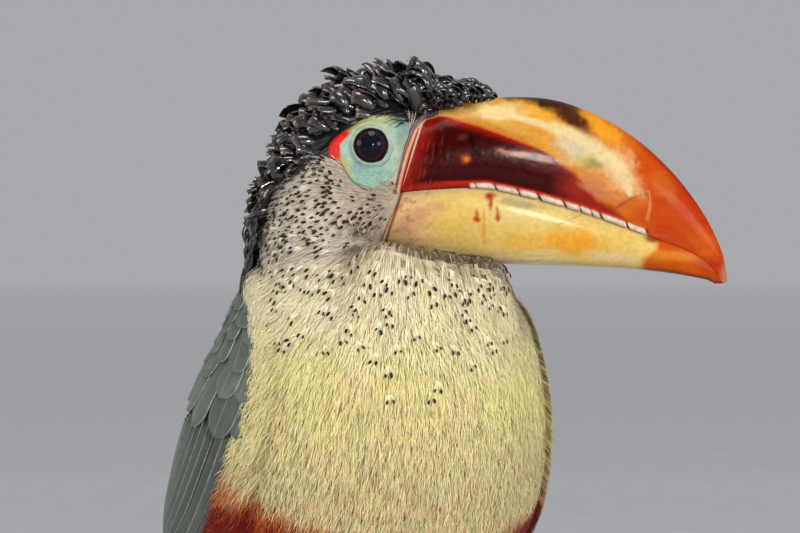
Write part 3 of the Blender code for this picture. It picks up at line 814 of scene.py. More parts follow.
def chart_mesh(name, chart):
    """A closed mesh of a chart."""
    rows, columns = chart.places.shape[:2]
    ends = [chart.places[0].mean(0), chart.places[-1].mean(0)]
    points = np.concatenate([chart.places.reshape(-1, 3), ends])
    faces = grid_quads(rows, columns).tolist()
    low, last = rows * columns, (rows - 1) * columns
    for c in range(columns):
        after = (c + 1) % columns
        faces += [(low, after, c), (low + 1, last + c, last + after)]
    return facing_out(finish_mesh(name, points, faces))


def facing_out(obj):
    """The object with all its faces turned outwards."""
    shape = bmesh.new()
    shape.from_mesh(obj.data)
    bmesh.ops.recalc_face_normals(shape, faces=shape.faces)
    shape.to_mesh(obj.data)
    shape.free()
    return obj


def chart_tree(chart):
    """Finds the nearest place on a chart, and where a line meets it."""
    faces = grid_quads(*chart.places.shape[:2]).tolist()
    return BVHTree.FromPolygons(chart.places.reshape(-1, 3).tolist(), faces)


def part_points(node, margin=0.0):
    """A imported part's points and triangles, moved outwards by margin."""
    shape = bmesh.new()
    shape.from_mesh(frame["nodes"][node].data)
    bmesh.ops.remove_doubles(shape, verts=shape.verts, dist=0.02 * MM)
    bmesh.ops.recalc_face_normals(shape, faces=shape.faces)
    shape.normal_update()
    for vertex in shape.verts:
        vertex.co += vertex.normal * margin
    shape.verts.ensure_lookup_table()
    points = [tuple(v.co) for v in shape.verts]
    faces = [tuple(v.index for v in f.verts) for f in shape.faces]
    shape.free()
    return points, faces


def joined(name, nodes, margin):
    """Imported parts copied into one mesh."""
    points, faces = [], []
    for node in nodes:
        some, corners = part_points(node, margin)
        faces += [tuple(i + len(points) for i in face) for face in corners]
        points += some
    return finish_mesh(name, points, faces)


def apply_modifiers(obj):
    """Puts the object's modified shape in place of its own."""
    graph = bpy.context.evaluated_depsgraph_get()
    old, obj.data = obj.data, bpy.data.meshes.new_from_object(obj.evaluated_get(graph))
    obj.modifiers.clear()
    bpy.data.meshes.remove(old)
    return obj


def fused(obj, voxel):
    """The pieces of a mesh as one even surface."""
    fuse = obj.modifiers.new("fuse", "REMESH")
    fuse.mode = "VOXEL"
    fuse.voxel_size = voxel
    smooth = obj.modifiers.new("smooth", "SMOOTH")
    smooth.factor = 0.5
    smooth.iterations = 2
    return apply_modifiers(obj)


def vectors_of(mesh, kind):
    """The place ("co") or "normal" of each of a mesh's points."""
    values = np.zeros(len(mesh.vertices) * 3, np.float32)
    mesh.vertices.foreach_get(kind, values)
    return values.reshape(-1, 3).astype(float)


def leg_points(side):
    """(heel, knee) of a leg, in the body's frame in mm."""
    foot = np.array([side * FOOT_OUT, -FOOT_AHEAD, 0])
    heel = foot + (-side * HEEL_IN, HEEL_BACK, HEEL_UP + 1)
    knee = np.array([side * KNEE_OUT, foot[1] - KNEE_FORWARD, KNEE_UP])
    return heel, knee


THIGH_ROWS, CUFF_ROWS = 46, 9


def thigh_chart(side, inset=0.0, cuff=False):
    """The feathered thigh as a chart, from the heel up into the trunk.

    A cuff adds rows that lie round the top of the bare shank.
    """
    heel, knee = leg_points(side)
    along = unit(knee - heel)
    low = heel + along * 0.8
    t = np.linspace(0, 1, THIGH_ROWS)
    radius = np.interp(t, THIGH_AT, THIGH_RADII)
    for _ in range(6):
        radius[1:-1] = (radius[:-2] + radius[2:]) / 2
    radius = np.maximum(radius - inset, 1.8)
    level = unit(np.cross(along, (0, 0, 1)))
    upright = unit(np.cross(level, along))
    a = np.arange(40) * 2 * np.pi / 40
    middle = low + (knee - low) * t[:, None]
    if cuff:
        foot = np.array([side * FOOT_OUT, -FOOT_AHEAD, 0])
        down = np.arange(CUFF_ROWS, 0, -1)[:, None] * 0.7
        middle = np.concatenate([low + unit(foot - heel) * down, middle])
        radius = np.concatenate([np.linspace(2.3, radius[0], CUFF_ROWS + 1)[:-1], radius])
    ring = level * np.cos(a)[:, None] + upright * 1.15 * np.sin(a)[:, None]
    places = middle[:, None] + ring[None] * radius[:, None, None]
    return Chart(in_body(places))


TOE_NAMES = ("inner_back", "inner_front", "outer_front", "outer_back")


def leg_colour(points):
    """Mottled grey-green, browner where the toes meet the floor."""
    mottle = ease(streaks(points, 4 * MM, 4), 0.35, 0.7)
    dusty = 0.5 * ease(points[:, 2] / MM, 1.2, 0)
    base = bpy.context.scene.aracari.leg_colour
    return layered(base, ((0.22, 0.26, 0.18), mottle), ((0.20, 0.17, 0.12), dusty))


def make_skin(settings):
    """One skin from the tail to the bill and down to the toes."""
    body = chart_mesh("skin", SKIN)
    flesh = ["head", "neck", "trunk", "rump"]
    for side, name in ((-1, "right"), (1, "left")):
        toes = [f"toe_{name}_{toe}" for toe in TOE_NAMES]
        leg = joined("leg_" + name, [f"tarsus_{name}", *toes], 0.32 * MM)
        leg = fused(leg, 0.5 * MM)
        places = vectors_of(leg.data, "co") - vectors_of(leg.data, "normal") * 0.3 * MM
        places[:, 2] = np.maximum(places[:, 2], 0)
        leg.data.vertices.foreach_set("co", places.astype(np.float32).ravel())
        thigh = chart_mesh("thigh_" + name, thigh_chart(side, settings.thigh_coat / MM))
        for piece in (leg, thigh):
            union = body.modifiers.new(piece.name, "BOOLEAN")
            union.operation = "UNION"
            union.solver = "MANIFOLD"
            union.object = piece
            apply_modifiers(body)
            bpy.data.objects.remove(piece)
        flesh += [f"thigh_{name}", f"tarsus_{name}", *toes]
    mesh = body.data
    mesh.shade_smooth()
    places = vectors_of(mesh, "co")
    tree = chart_tree(SKIN)
    nearest = [tree.find_nearest(p) for p in places.tolist()]
    far = np.array([n[3] for n in nearest])
    rows, columns = np.divmod([n[2] for n in nearest], BODY_COLUMNS)
    on_leg = ease(far / MM, 0.2, 1.0)
    bare = on_leg * ease(places[:, 2] / MM, 29, 26.5)
    under_coat = plumage(places, ring_of(rows + 0.5), angle_of(columns + 0.5)) * 0.9
    paint(mesh, layered(under_coat, (settings.thigh_colour, on_leg), (leg_colour(places), bare)))
    mesh.materials.clear()
    mesh.materials.append(skin_finish())
    mesh.materials.append(leg_finish())
    first = indices(mesh.loops, "vertex_index")[indices(mesh.polygons, "loop_start")]
    mesh.polygons.foreach_set("material_index", (bare[first] > 0.5).astype(np.int32))
    return dress(body, "breast_yellow", *flesh)


# ------------------------------------------------------------------ coat

FAN_POINT = (8.0, -14.0)  # mm ahead and up from between the eyes, where the face's feathers part


def lie(chart, row, column):
    """Which way the feathers lie: out from the gape over the face, then down the body."""
    places, normals = chart.place(row, column), chart.normal(row, column)
    ahead, left, up = to_head(places).T
    from_gape = np.stack([ahead - FAN_POINT[0], 0.1 * left, up - FAN_POINT[1]], axis=-1)
    reach = np.linalg.norm(from_gape, axis=1)
    fan = unit(unit(from_gape) @ np.array([AHEAD, LEFT, UP]))
    share = (1 - ease(reach, 30, 105) * 0.86) * ease(ring_of(row), 6.5, 9.5)
    way = mix(-unit(chart.take(chart.down, row, column)), fan, share)
    return unit(way - normals * (way * normals).sum(1, keepdims=True))


def lay(chart, row, column, way, length, half, rise, rows=3, columns=2, camber=0.0, sag=0.0):
    """Strips along a surface. length is in metres, half(t, b) and rise(t) give each strip's shape.

    The result is a grid of places for each strip: down its length, then across it.
    """
    normal = chart.normal(row, column)
    across = unit(np.cross(normal, way))
    down_step, round_step = chart.steps(row, column, way * length[:, None])
    strips = np.empty((len(row), rows, columns, 3))
    for k in range(rows):
        t = k / (rows - 1)
        at_row, at_column = row + down_step * t, column + round_step * t
        past = chart.take(chart.down, 0 * row, at_column) * np.minimum(at_row, 0)[:, None]
        middle = chart.place(at_row, at_column) + past
        up = chart.normal(at_row, at_column)
        lift = rise(t)
        for m in range(columns):
            b = 2 * m / (columns - 1) - 1
            width, back = half(t, b)
            bow = camber * (1 - b * b)
            strips[:, k, m] = (
                middle
                + across * (np.asarray(width) * b)[..., None]
                + up * (np.asarray(lift + bow - sag * t * b * b))[..., None]
                - way * (np.asarray(back) * length)[..., None]
            )
    return strips


def spread_roots(chart, row, column, way, across_by, along_by):
    """Roots moved along and across the lie, by metres."""
    across = np.cross(chart.normal(row, column), way)
    move = across * across_by[:, None] + way * along_by[:, None]
    down_step, round_step = chart.steps(row, column, move)
    return row + down_step, column + round_step


def turned(chart, row, column, way, angle):
    """The lie turned within the surface, in radians."""
    across = np.cross(chart.normal(row, column), way)
    return way * np.cos(angle)[:, None] + across * np.sin(angle)[:, None]


def add_tufts(pile, chart, row, column, way, look, rng, colour_of=None, map_of=None):
    """Tufts of fine strands that taper, a few from each root.

    look has count, length, spread, fan, width, low and high, all in metres but count and fan.
    """
    count, n = look["count"], len(row)
    total = n * count

    def each(values):
        return np.repeat(np.broadcast_to(values, n), count)

    roots = np.repeat((map_of or map_place)(row, column), count, axis=0)
    base = np.repeat((colour_of or body_colour)(row, column), count, axis=0)
    row, column, way = (np.repeat(v, count, axis=0) for v in (row, column, way))
    length, low = each(look["length"]), each(look["low"])
    aside = rng.uniform(-1, 1, total)
    along = rng.uniform(-1, 1, total) * look.get("jitter", 0.35) * length
    row, column = spread_roots(chart, row, column, way, aside * each(look["spread"]), along)
    way = turned(chart, row, column, way, aside * look["fan"] + rng.normal(0, 0.09, total))
    length = length * rng.uniform(0.72, 1.12, total)
    width = look["width"] * rng.uniform(0.75, 1.25, total)
    high = each(look["high"]) * rng.uniform(*look.get("loose", (0.74, 1.04)), total)

    def half(t, b):
        return width / 2 * np.interp(t, (0, 0.5, 1), (0.8, 1.0, 0.15)), 0.0

    def rise(t):
        return low + (high - low) * min(1.0, 2.0 * t) * (1 - 0.14 * t)

    strips = lay(chart, row, column, way, length, half, rise)
    tone = rng.uniform(0.88, 1.24, total)[:, None, None, None]
    # Each strand is painted darker at its root and lighter at its tip: a painted shade where the
    # strands lie under the others.
    colours = base[:, None, None, :] * tone * np.array([0.76, 1.0, 1.10])[None, :, None, None]
    if "flecks" in look:
        colours = look["flecks"](row, column, colours, rng)
    pile.add(strips, colours, roots)


def add_vanes(pile, chart, row, column, way, look, rng, colour_of=None, dots=False):
    """Small whole feathers, which end in two black points where dots is true."""
    n = len(row)
    roots = map_place(row, column)
    base = (colour_of or body_colour)(row, column)
    length = np.broadcast_to(look["length"], n) * rng.uniform(0.85, 1.15, n)
    wide = np.broadcast_to(look["width"], n) * rng.uniform(0.85, 1.15, n)
    way = turned(chart, row, column, way, rng.normal(0, look.get("stray", 0.12), n))
    rows, columns = look.get("rows", 6), 5
    high = look["high"] * rng.uniform(0.7, 1.15, n)
    low = look["low"]

    def half(t, b):
        body = np.interp(t, (0, 0.35, look["tip"], 1), (0.35, 0.9, 1.0, look["end"]))
        return wide / 2 * body, look["round"] * t * b * b

    def rise(t):
        return low + (high - low) * min(1.0, 1.7 * t) * (1 - 0.08 * t)

    bowed = look["camber"], look.get("sag", 0.1 * MM)
    strips = lay(chart, row, column, way, length, half, rise, rows, columns, *bowed)
    # shade is a random tone times a painted shade: darker at each feather's root, where the others
    # cover it, and lighter at its tip.
    shade = rng.uniform(0.86, 1.12, n)[:, None] * (0.72 + 0.30 * np.linspace(0, 1, rows))
    shaft = 1 + look.get("shaft", 0.0) * (np.abs(np.linspace(-1, 1, columns)) < 0.1)
    colours = base[:, None, None, :] * shade[:, :, None, None] * shaft[None, None, :, None]
    pile.add(strips, colours, roots)
    if dots:
        black_points(pile, chart, row, column, way, length, wide, high, roots, rng)


def black_points(pile, chart, row, column, way, length, wide, high, roots, rng):
    """The pair of glossy black lobes at the end of each dotted feather."""
    n = len(row)
    top = high + 0.45 * MM
    for side in (-1, 1):
        aside = side * wide * rng.uniform(0.30, 0.44, n)
        move = length * rng.uniform(0.78, 1.0, n)
        at_row, at_column = spread_roots(chart, row, column, way, aside, move)
        lobe = turned(chart, at_row, at_column, way, side * rng.uniform(0.0, 0.35, n))
        size = rng.uniform(0.55, 1.0, n)

        def half(t, b):
            body = np.interp(t, (0, 0.35, 0.75, 1), (0.45, 1.0, 0.95, 0.5))
            return 0.44 * MM * size * body, 0.1 * b * b

        def rise(t):
            return top + 0.22 * MM * math.sin(math.pi * min(1.0, t + 0.1))

        strips = lay(chart, at_row, at_column, lobe, 1.5 * MM * size, half, rise, 5, 4, 0.16 * MM)
        tone = rng.uniform(0.3, 2.4, n)[:, None, None, None]
        black = np.array(bpy.context.scene.aracari.black_colour)
        pile.add(strips, black + np.array((0.016, 0.009, 0.005)) * tone, roots)


# How far the bare skin round the eye reaches, in mm from the eye's centre, each sixteenth of a
# turn, from straight ahead, then upwards.
ORBIT_REACH = (8.9, 11.2, 11.9, 9.0, 7.9, 7.1, 6.9, 7.4, 8.5, 9.1, 9.5, 10.9, 11.8, 10.7, 9.3, 8.5)
RED_SPOT_REACH = 2.3      # mm more where red skin lies behind the eye


def orbit_reach(turn):
    """The bare skin's reach at a turn in radians, on a smooth curve round the eye."""
    count = len(ORBIT_REACH)
    wrapped = ORBIT_REACH[-2:] + ORBIT_REACH + ORBIT_REACH[:3]
    at = (np.asarray(turn) % (2 * np.pi)) / (2 * np.pi) * count
    return rows_at([[r] for r in wrapped], at + 2)[..., 0]


def red_spot(turn):
    """The red skin's reach beyond the blue, at a turn in radians."""
    turn = np.asarray(turn) % (2 * np.pi)
    return RED_SPOT_REACH * ease(turn, 2.25, 3.3) * ease(turn, 3.60, 3.42)


def in_orbit(points, extra=0.0):
    ahead, left, up = to_head(points).T
    turn = np.arctan2(up, ahead)
    reach = orbit_reach(turn) + red_spot(turn) + extra
    return (np.hypot(ahead, up) < reach) & (np.abs(left) > 8)


def under_wing(ring, angle):
    rings, front, back, _ = np.array(WING)[::-1].T
    a = np.abs(angle)
    inside = (a > np.interp(ring, rings, front) + 6) & (a < np.interp(ring, rings, back) - 4)
    return inside & (ring > 0.5) & (ring < 9.4)


def body_spots(allowed, gap, rng, chart=SKIN):
    """Roots on the body where allowed(ring, angle, place), about gap(ring, place) mm apart."""

    def fits(row, column, place):
        ring, angle = ring_of(row), angle_of(column)
        return allowed(ring, angle, place) & ~under_wing(ring, angle)

    def spacing(row, column, place):
        return np.broadcast_to(gap(ring_of(row), place), len(row)) * MM

    return chart.roots(spacing, rng, fits)


def body_colour(row, column):
    return plumage(SKIN.place(row, column), ring_of(row), angle_of(column))


def by_bill(points):
    """Whether places are under or beside the strip round the bill's base."""
    ahead, _, up = to_head(points).T
    heights, edges = np.array(STRIP_BACK).T
    above = np.interp(up, heights, edges)
    below = np.interp(up, (-26.6, -12.4), (2.6, 7.4))
    return ahead > np.where(up > -12, above, below) - 0.9


def breast_flecks(row, column, colours, rng):
    """A few strands that end brown, and lower down orange."""
    z = SKIN.place(row, column)[:, 2] / MM
    chance = rng.random(len(row))
    brown = chance < 0.17 * ease(z, 122, 88) + 0.02
    orange = chance > 1 - 0.10 * ease(z, 114, 80)
    tip = np.array([0.0, 0.425, 0.85])[:, None, None]
    for hit, colour in ((brown, (0.10, 0.07, 0.03)), (orange, (0.62, 0.13, 0.02))):
        colours = mix(colours, colour, hit[:, None, None, None] * tip)
    return colours


def make_face_coat(settings):
    """Small white feathers with black points over the cheeks, and fine strands at their edges."""
    rng = np.random.default_rng(11)
    pile = Pile()

    def allowed(ring, angle, place):
        free = (cap_share(place) < 0.35) & ~in_orbit(place, 0.3) & ~by_bill(place)
        return (ring > 14.2) & (ring < LAST_RING - 0.15) & free

    def gap(ring, place):
        ahead, _, up = to_head(place).T
        near = np.minimum(np.hypot(ahead, up) - 9, 8 - ahead)
        return 0.95 + 0.75 * ease(near, 0, 12)

    row, column = body_spots(allowed, gap, rng, FLUFF)
    place = SKIN.place(row, column)
    way = lie(FLUFF, row, column)
    ahead, _, up = to_head(place).T
    size = ease(np.minimum(np.hypot(ahead, up) - 9, 9 - ahead), 0, 14)
    by_cap = cap_share(place, 5.0)
    raised = fluff_gap(row, column)
    dots = (rng.random(len(row)) < dotted(place)) & ~in_orbit(place, 2.4)
    dots &= (raised < 1.2 * MM) & (by_cap < 0.12)
    depth = coat_depth(place, ring_of(row)) * MM
    vanes = {
        "length": settings.cheek_feather * (0.42 + 0.58 * size[dots]), "high": depth[dots] * 0.9,
        "width": (1.0 + 1.35 * size[dots]) * MM, "low": -0.2 * MM, "end": 0.9, "tip": 0.9,
        "round": 0.05, "stray": 0.2, "camber": 0.06 * MM, "sag": 0.05 * MM,
    }
    add_vanes(pile, FLUFF, row[dots], column[dots], way[dots], vanes, rng, dots=True)
    strands = {
        "count": 8, "length": settings.cheek_feather * (0.5 + 0.55 * size + 0.9 * by_cap),
        "spread": (0.5 + 0.75 * size) * MM, "fan": 0.26, "width": 0.17 * MM,
        "low": -0.1 * MM - np.minimum(0.7 * raised, 0.9 * MM),
        "high": 1.15 * float(depth.mean()) + 1.6 * MM * by_cap, "loose": (0.85, 1.25),
    }
    add_tufts(pile, FLUFF, row, column, way, strands, rng)
    return dress(pile.make("coat_face", feather_finish("cheek_feathers", 0.42, 0.66)), "face_white")


def dress(piece, slot, *nodes):
    """Puts a piece on the bird, in place of the parts it stands for. slot is not used."""
    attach(piece, "root")
    if nodes:
        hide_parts(*nodes)
    return piece


def long_tufts(pile, row, column, rng, length, count, spread, width, high, **more):
    """Long strands over the raised feathers. spread, width and high are in mm."""
    low = -0.4 * MM - np.minimum(0.7 * fluff_gap(row, column), 0.9 * MM)
    look = {
        "count": count, "length": length, "spread": spread * MM, "fan": 0.22,
        "width": width * MM, "low": low, "high": high * MM, **more,
    }
    add_tufts(pile, FLUFF, row, column, lie(FLUFF, row, column), look, rng)


def apart(places, pick, gap):
    """The picked places that are at least gap metres from those before them."""
    kept = []
    for k in np.flatnonzero(pick):
        if not kept or np.linalg.norm(places[kept] - places[k], axis=1).min() > gap:
            kept.append(k)
    return np.array(kept, int)


def dotted_vanes(pile, row, column, rng, length, high):
    """The pale feathers that widen to two black points, among the strands, in mm."""
    width = 1.8
    raised = FLUFF.place(row, column)
    ahead, left, _ = to_head(raised).T
    level = (left < 8) | (fluff_gap(row, column) < 1.0 * MM)
    pick = rng.random(len(row)) < dotted(SKIN.place(row, column)) * 0.9
    kept = apart(raised, pick & (ahead < 33) & (left < 20) & level, 2.5 * MM)
    row, column = row[kept], column[kept]
    n = len(row)
    way = lie(FLUFF, row, column)
    aside, along = rng.uniform(-0.6, 0.6, (2, n)) * MM
    row, column = spread_roots(FLUFF, row, column, way, aside, along)
    way = turned(FLUFF, row, column, way, rng.normal(0, 0.22, n))
    look = {
        "count": 9, "length": length * MM, "spread": 0.18 * MM, "fan": 0.5 * width / length,
        "width": 0.26 * MM, "low": -0.2 * MM, "high": (high + 0.35) * MM, "jitter": 0.06,
        "loose": (0.9, 1.1),
    }

    def pale(row, column):
        return mix(body_colour(row, column), (0.92, 0.84, 0.68), np.full(n, 0.32))

    add_tufts(pile, FLUFF, row, column, way, look, rng, pale)
    sizes = (np.full(n, size * MM) for size in (length, width, high))
    black_points(pile, FLUFF, row, column, way, *sizes, map_place(row, column), rng)


def make_neck_coat(settings):
    """Fine strands fanning down from the chin, with scattered black-tipped feathers."""
    rng = np.random.default_rng(12)
    pile = Pile()

    def allowed(ring, angle, place):
        free = (cap_share(place) < 0.5) & (behind_of(ring, angle) > 24)
        return (ring > 9.6) & (ring <= 14.3) & free

    row, column = body_spots(allowed, lambda ring, place: 1.3, rng, FLUFF)
    long_tufts(pile, row, column, rng, settings.breast_feather * 0.86, 13, 1.0, 0.17, 2.0)
    dotted_vanes(pile, row, column, rng, 3.4, 1.9)
    add_down(pile)
    return dress(pile.make("coat_neck", feather_finish("neck_feathers")), "face_white")


def make_breast_coat(settings, name, side):
    """Hair-like yellow feathers on one half of the breast."""
    rng = np.random.default_rng(13 + side)
    pile = Pile()

    def allowed(ring, angle, place):
        half = place[:, 0] * side > MIDDLE * side
        return (ring > 5.2) & (ring <= 9.7) & (behind_of(ring, angle) > 62) & half

    row, column = body_spots(allowed, lambda ring, place: 1.4, rng, FLUFF)
    length = settings.breast_feather
    long_tufts(pile, row, column, rng, length, 14, 1.2, 0.17, 2.4, flecks=breast_flecks)
    dotted_vanes(pile, row, column, rng, 3.6, 2.2)
    add_fringe(pile, side, rng, length)
    return dress(pile.make(name, feather_finish("breast_feathers")), "breast_yellow")


def add_fringe(pile, side, rng, length):
    """Feathers that lie over the wing's front edge and over its shoulder."""
    rings, front, _, _ = np.array(WING)[::-1].T
    down = np.repeat(np.linspace(1.2, 9.3, 170), 5)
    angle = np.interp(down, rings, front) - rng.uniform(-3, 9, len(down))
    over = np.repeat(np.linspace(78, 128, 34), 4)
    ring = np.concatenate([down, np.interp(over, (78, 95, 128), (9.5, 10.1, 10.3))])
    ring = ring + rng.normal(0, 0.12, len(ring))
    angle = np.concatenate([angle, over + rng.uniform(-1, 1, len(over))])
    row, column = row_of(ring), column_of(side * angle)
    way = lie(OUTLINE, row, column)
    way = turned(OUTLINE, row, column, way, side * np.where(angle > 76, 0.0, 0.28))
    look = {
        "count": 9, "length": length, "spread": 1.2 * MM, "fan": 0.22, "width": 0.2 * MM,
        "low": 0.2 * MM, "high": 3.2 * MM, "loose": (0.8, 1.06), "flecks": breast_flecks,
    }
    add_tufts(pile, OUTLINE, row, column, way, look, rng)


def make_belly_coat(settings):
    """Longer, looser feathers under the belly, out to the vent and tail coverts."""
    rng = np.random.default_rng(16)
    pile = Pile()

    def allowed(ring, angle, place):
        return (ring <= 5.3) & (ring > 0.05) & (behind_of(ring, angle) > 58)

    row, column = body_spots(allowed, lambda ring, place: 1.9, rng)
    long_tufts(pile, row, column, rng, settings.belly_feather, 13, 1.6, 0.22, 2.8)
    return dress(pile.make("coat_belly", feather_finish("belly_feathers")), "breast_yellow")


def make_back_coat(settings):
    """Overlapping feathers on the nape, mantle, back and rump."""
    rng = np.random.default_rng(17)
    pile = Pile()

    def allowed(ring, angle, place):
        back = np.interp(ring, [0, 5.2, 5.4, 9.7, 12.5], [60, 60, 64, 64, 30])
        black = cap_share(place) >= 0.5
        upper = (behind_of(ring, angle) <= back) & (ring < 13)
        nape = (ring > 9.6) & black
        return (ring > 0.05) & (ring < 14.6) & (upper | nape) & ((ring <= 13) | black)

    def gap(ring, place):
        return np.interp(ring, [0, 8, 11, 14], [2.3, 2.3, 1.8, 1.4])

    row, column = body_spots(allowed, gap, rng)
    spots = row, column, lie(SKIN, row, column)
    size = np.interp(ring_of(row), [0, 0.5, 1, 8, 11, 14], [1.25, 1.1, 1.0, 0.9, 0.62, 0.45])
    vanes = {
        "length": settings.back_feather * size, "width": 3.7 * MM * size, "low": -0.3 * MM,
        "high": 2.3 * MM * size, "end": 0.35, "tip": 0.72, "rows": 7, "round": 0.3,
        "shaft": 0.35, "camber": 0.3 * MM,
    }
    add_vanes(pile, SKIN, *spots, vanes, rng)
    strands = {
        "count": 8, "length": settings.back_feather * size * 1.1, "spread": 1.6 * MM,
        "fan": 0.22, "width": 0.22 * MM, "low": -0.2 * MM, "high": 2.5 * MM,
    }
    add_tufts(pile, SKIN, *spots, strands, rng)
    return dress(pile.make("coat_back", feather_finish("back_feathers", 0.4, 0.62)), "rump_red")


def make_thigh_coat(settings, name, side):
    """Short green feathers down to the bare shank."""
    rng = np.random.default_rng(20 + side)
    chart = thigh_chart(side, settings.thigh_coat / MM, True)
    rows, columns = chart.places.shape[:2]
    pile = Pile()
    tree = chart_tree(SKIN)

    def allowed(row, column, place):
        near = (tree.find_nearest(p) for p in place.tolist())
        height = np.array([(Vector(p) - n[0]).dot(n[1]) for p, n in zip(place.tolist(), near)])
        return (height > -0.5 * MM) & (row > CUFF_ROWS - 3)

    def gap(row, column, place):
        return np.interp(row - CUFF_ROWS, [0, 10, 45], [0.8, 1.3, 1.8]) * MM

    def colour_of(row, column):
        place = chart.place(row, column)
        brown = ease(streaks(place, 4 * MM, 8), 0.55, 0.8)
        yellow = 0.45 * ease(place[:, 2] / MM, 50, 62)
        layers = ((0.16, 0.15, 0.05), brown), (settings.belly_colour, yellow)
        return layered(settings.thigh_colour, *layers)

    def map_of(row, column):
        return 0.01 + 0.98 * np.stack([column % columns / columns, row / rows], -1)

    row, column = chart.roots(gap, rng, allowed)
    way = -unit(chart.take(chart.down, row, column))
    size = np.interp(row - CUFF_ROWS, [0, 8, 45], [0.5, 0.75, 1.0])
    look = {
        "count": 10, "length": settings.thigh_feather * size, "spread": 1.1 * MM, "fan": 0.22,
        "width": 0.24 * MM, "low": -0.3 * MM, "high": 1.9 * MM * np.minimum(1.0, size + 0.1),
    }
    add_tufts(pile, chart, row, column, way, look, rng, colour_of, map_of)
    return dress(pile.make(name, feather_finish("thigh_feathers")), "thigh_green")


# ------------------------------------------------------------------ crest


def crest_heights(places, normals):
    """Millimetres from the skin to the outside of the crest, and 0 beside it."""
    tree = BVHTree.FromPolygons(*part_points("crest"))
    reach = 20 * MM
    heights = []
    for p, n in zip(places, normals):
        hit = tree.ray_cast(Vector(p + n * reach), Vector(-n), reach * 1.1)
        heights.append(0.0 if hit[0] is None else (reach - hit[3]) / MM)
    return np.array(heights)


CURL_BROWN = (0.13, 0.072, 0.052)  # the worn ends of the curls
# The curls over the bill's base: mm ahead, and the height of their tops over the bill's ridge.
FRONT_CURLS = ((9, 13.0), (13, 12.5), (18, 9.2), (22, 7.0), (29, 6.0), (32, 3.6), (35, 1.2))


def front_curl_roots(rng):
    """Places, outward directions, lie, map places and heights for curls over the bill's base."""
    ahead, left = [], []
    for a in np.arange(10.5, 34.0, 1.5):
        half = np.interp(a, (10, 22, 34), (6.6, 6.0, 2.6))
        for side in np.arange(-half, half + 0.1, 1.9):
            ahead.append(a + rng.normal(0, 0.4))
            left.append(side + rng.normal(0, 0.4))
    ahead, left = np.array(ahead), np.array(left)
    up = bill_line(ahead, RIDGE) - 0.8 - 0.028 * left**2
    normal = unit(0.25 * AHEAD + UP + LEFT * (0.075 * left)[:, None])
    comb = -AHEAD + LEFT * (0.04 * left)[:, None]
    comb = unit(comb - normal * (comb * normal).sum(1, keepdims=True))
    heights = np.interp(ahead, *np.array(FRONT_CURLS).T) * (1 - 0.0022 * left**2)
    roots = np.stack([0.5 + left / 200, 0.99 - 0.0004 * (34 - ahead)], -1)
    return from_head(ahead, left, up), normal, comb, roots, heights


def add_curls(pile, place, normal, way, roots, rise, look, rng):
    """Glossy flakes that stand up from the skin and curl over. rise is the height of their tops."""
    n = len(place)
    rows, columns = 12, 4
    start = np.radians(look["start"] + rng.normal(0, 12, n))
    end = np.radians(look["end"] + rng.normal(0, 30, n))
    length = look["length"] * rng.uniform(0.8, 1.25, n)
    width = look["width"] * rng.uniform(0.75, 1.25, n)
    across = np.cross(normal, way)
    yaw = rng.normal(0, look["stray"], n)[:, None]
    way, across = way * np.cos(yaw) + across * np.sin(yaw), across * np.cos(yaw) - way * np.sin(yaw)
    roll = rng.normal(0, look["roll"], n)
    twist = rng.normal(0, look["twist"], n)
    t = np.linspace(0, 1, rows)
    bend = start[:, None] + (end - start)[:, None] * t[None]
    step = (length / (rows - 1))[:, None]

    def travelled(share):
        return np.concatenate([np.zeros((n, 1)), np.cumsum(share[:, :-1] * step, 1)], 1)

    along, height = travelled(np.cos(bend)), travelled(np.sin(bend))
    lift = np.maximum(rise - height.max(1), look["root"])
    squeeze = np.minimum(1, (rise - lift) / np.maximum(height.max(1), 0.1 * MM))
    height = height * np.clip(squeeze, 0.4, 1)[:, None] + lift[:, None]
    middle = place[:, None] + way[:, None] * along[..., None] + normal[:, None] * height[..., None]
    tangent = way[:, None] * np.cos(bend)[..., None] + normal[:, None] * np.sin(bend)[..., None]
    back = np.cross(tangent, across[:, None])
    angle = roll[:, None] + twist[:, None] * t
    side = across[:, None] * np.cos(angle)[..., None] + back * np.sin(angle)[..., None]
    face = np.cross(tangent, side)
    shape = np.interp(t, (0, 0.25, 0.8, 1), (0.55, 0.95, 1.0, look["tip"]))
    wide = width[:, None] / 2 * shape[None]
    thick = look["thick"] * np.interp(t, (0, 0.85, 1), (1, 0.8, 0.25))
    b = np.linspace(-1, 1, columns)
    edge = middle[:, :, None] + side[:, :, None] * (wide[..., None] * b)[..., None]
    bow = face[:, :, None] * (look["cup"] * b**2 * wide[..., None])[..., None]
    half = face[:, :, None] * (thick[:, None] * (1 - 0.55 * b**2) / 2)[..., None]
    strips = np.concatenate([edge - bow + half, (edge - bow - half)[:, :, ::-1]], axis=2)
    base = np.array(look["colour"]) * rng.uniform(0.7, 2.2, (n, 1))
    share = look["brown"] * ease(t, 0.78, 1.0)[None] * rng.uniform(0.0, 1, (n, 1))
    colours = mix(base[:, None], CURL_BROWN, share[..., None])
    pile.add(strips, colours[:, :, None], roots, closed=True)


def crest_finish():
    """Black horny curls as glossy as lacquer, with faint ripples across them."""
    finish = Finish("glossy_curls", Coat_Weight=1.0, Coat_Roughness=0.05, Specular_IOR_Level=0.3)
    speck = finish.noise(0.6)
    colour = finish.painted(finish.spread(speck, 0.7, 1.5))
    rough = finish.spread(speck, 0.12, 0.24)
    return finish.done(colour, rough, (finish.barbs(2.2, 9), 0.35, 0.6))


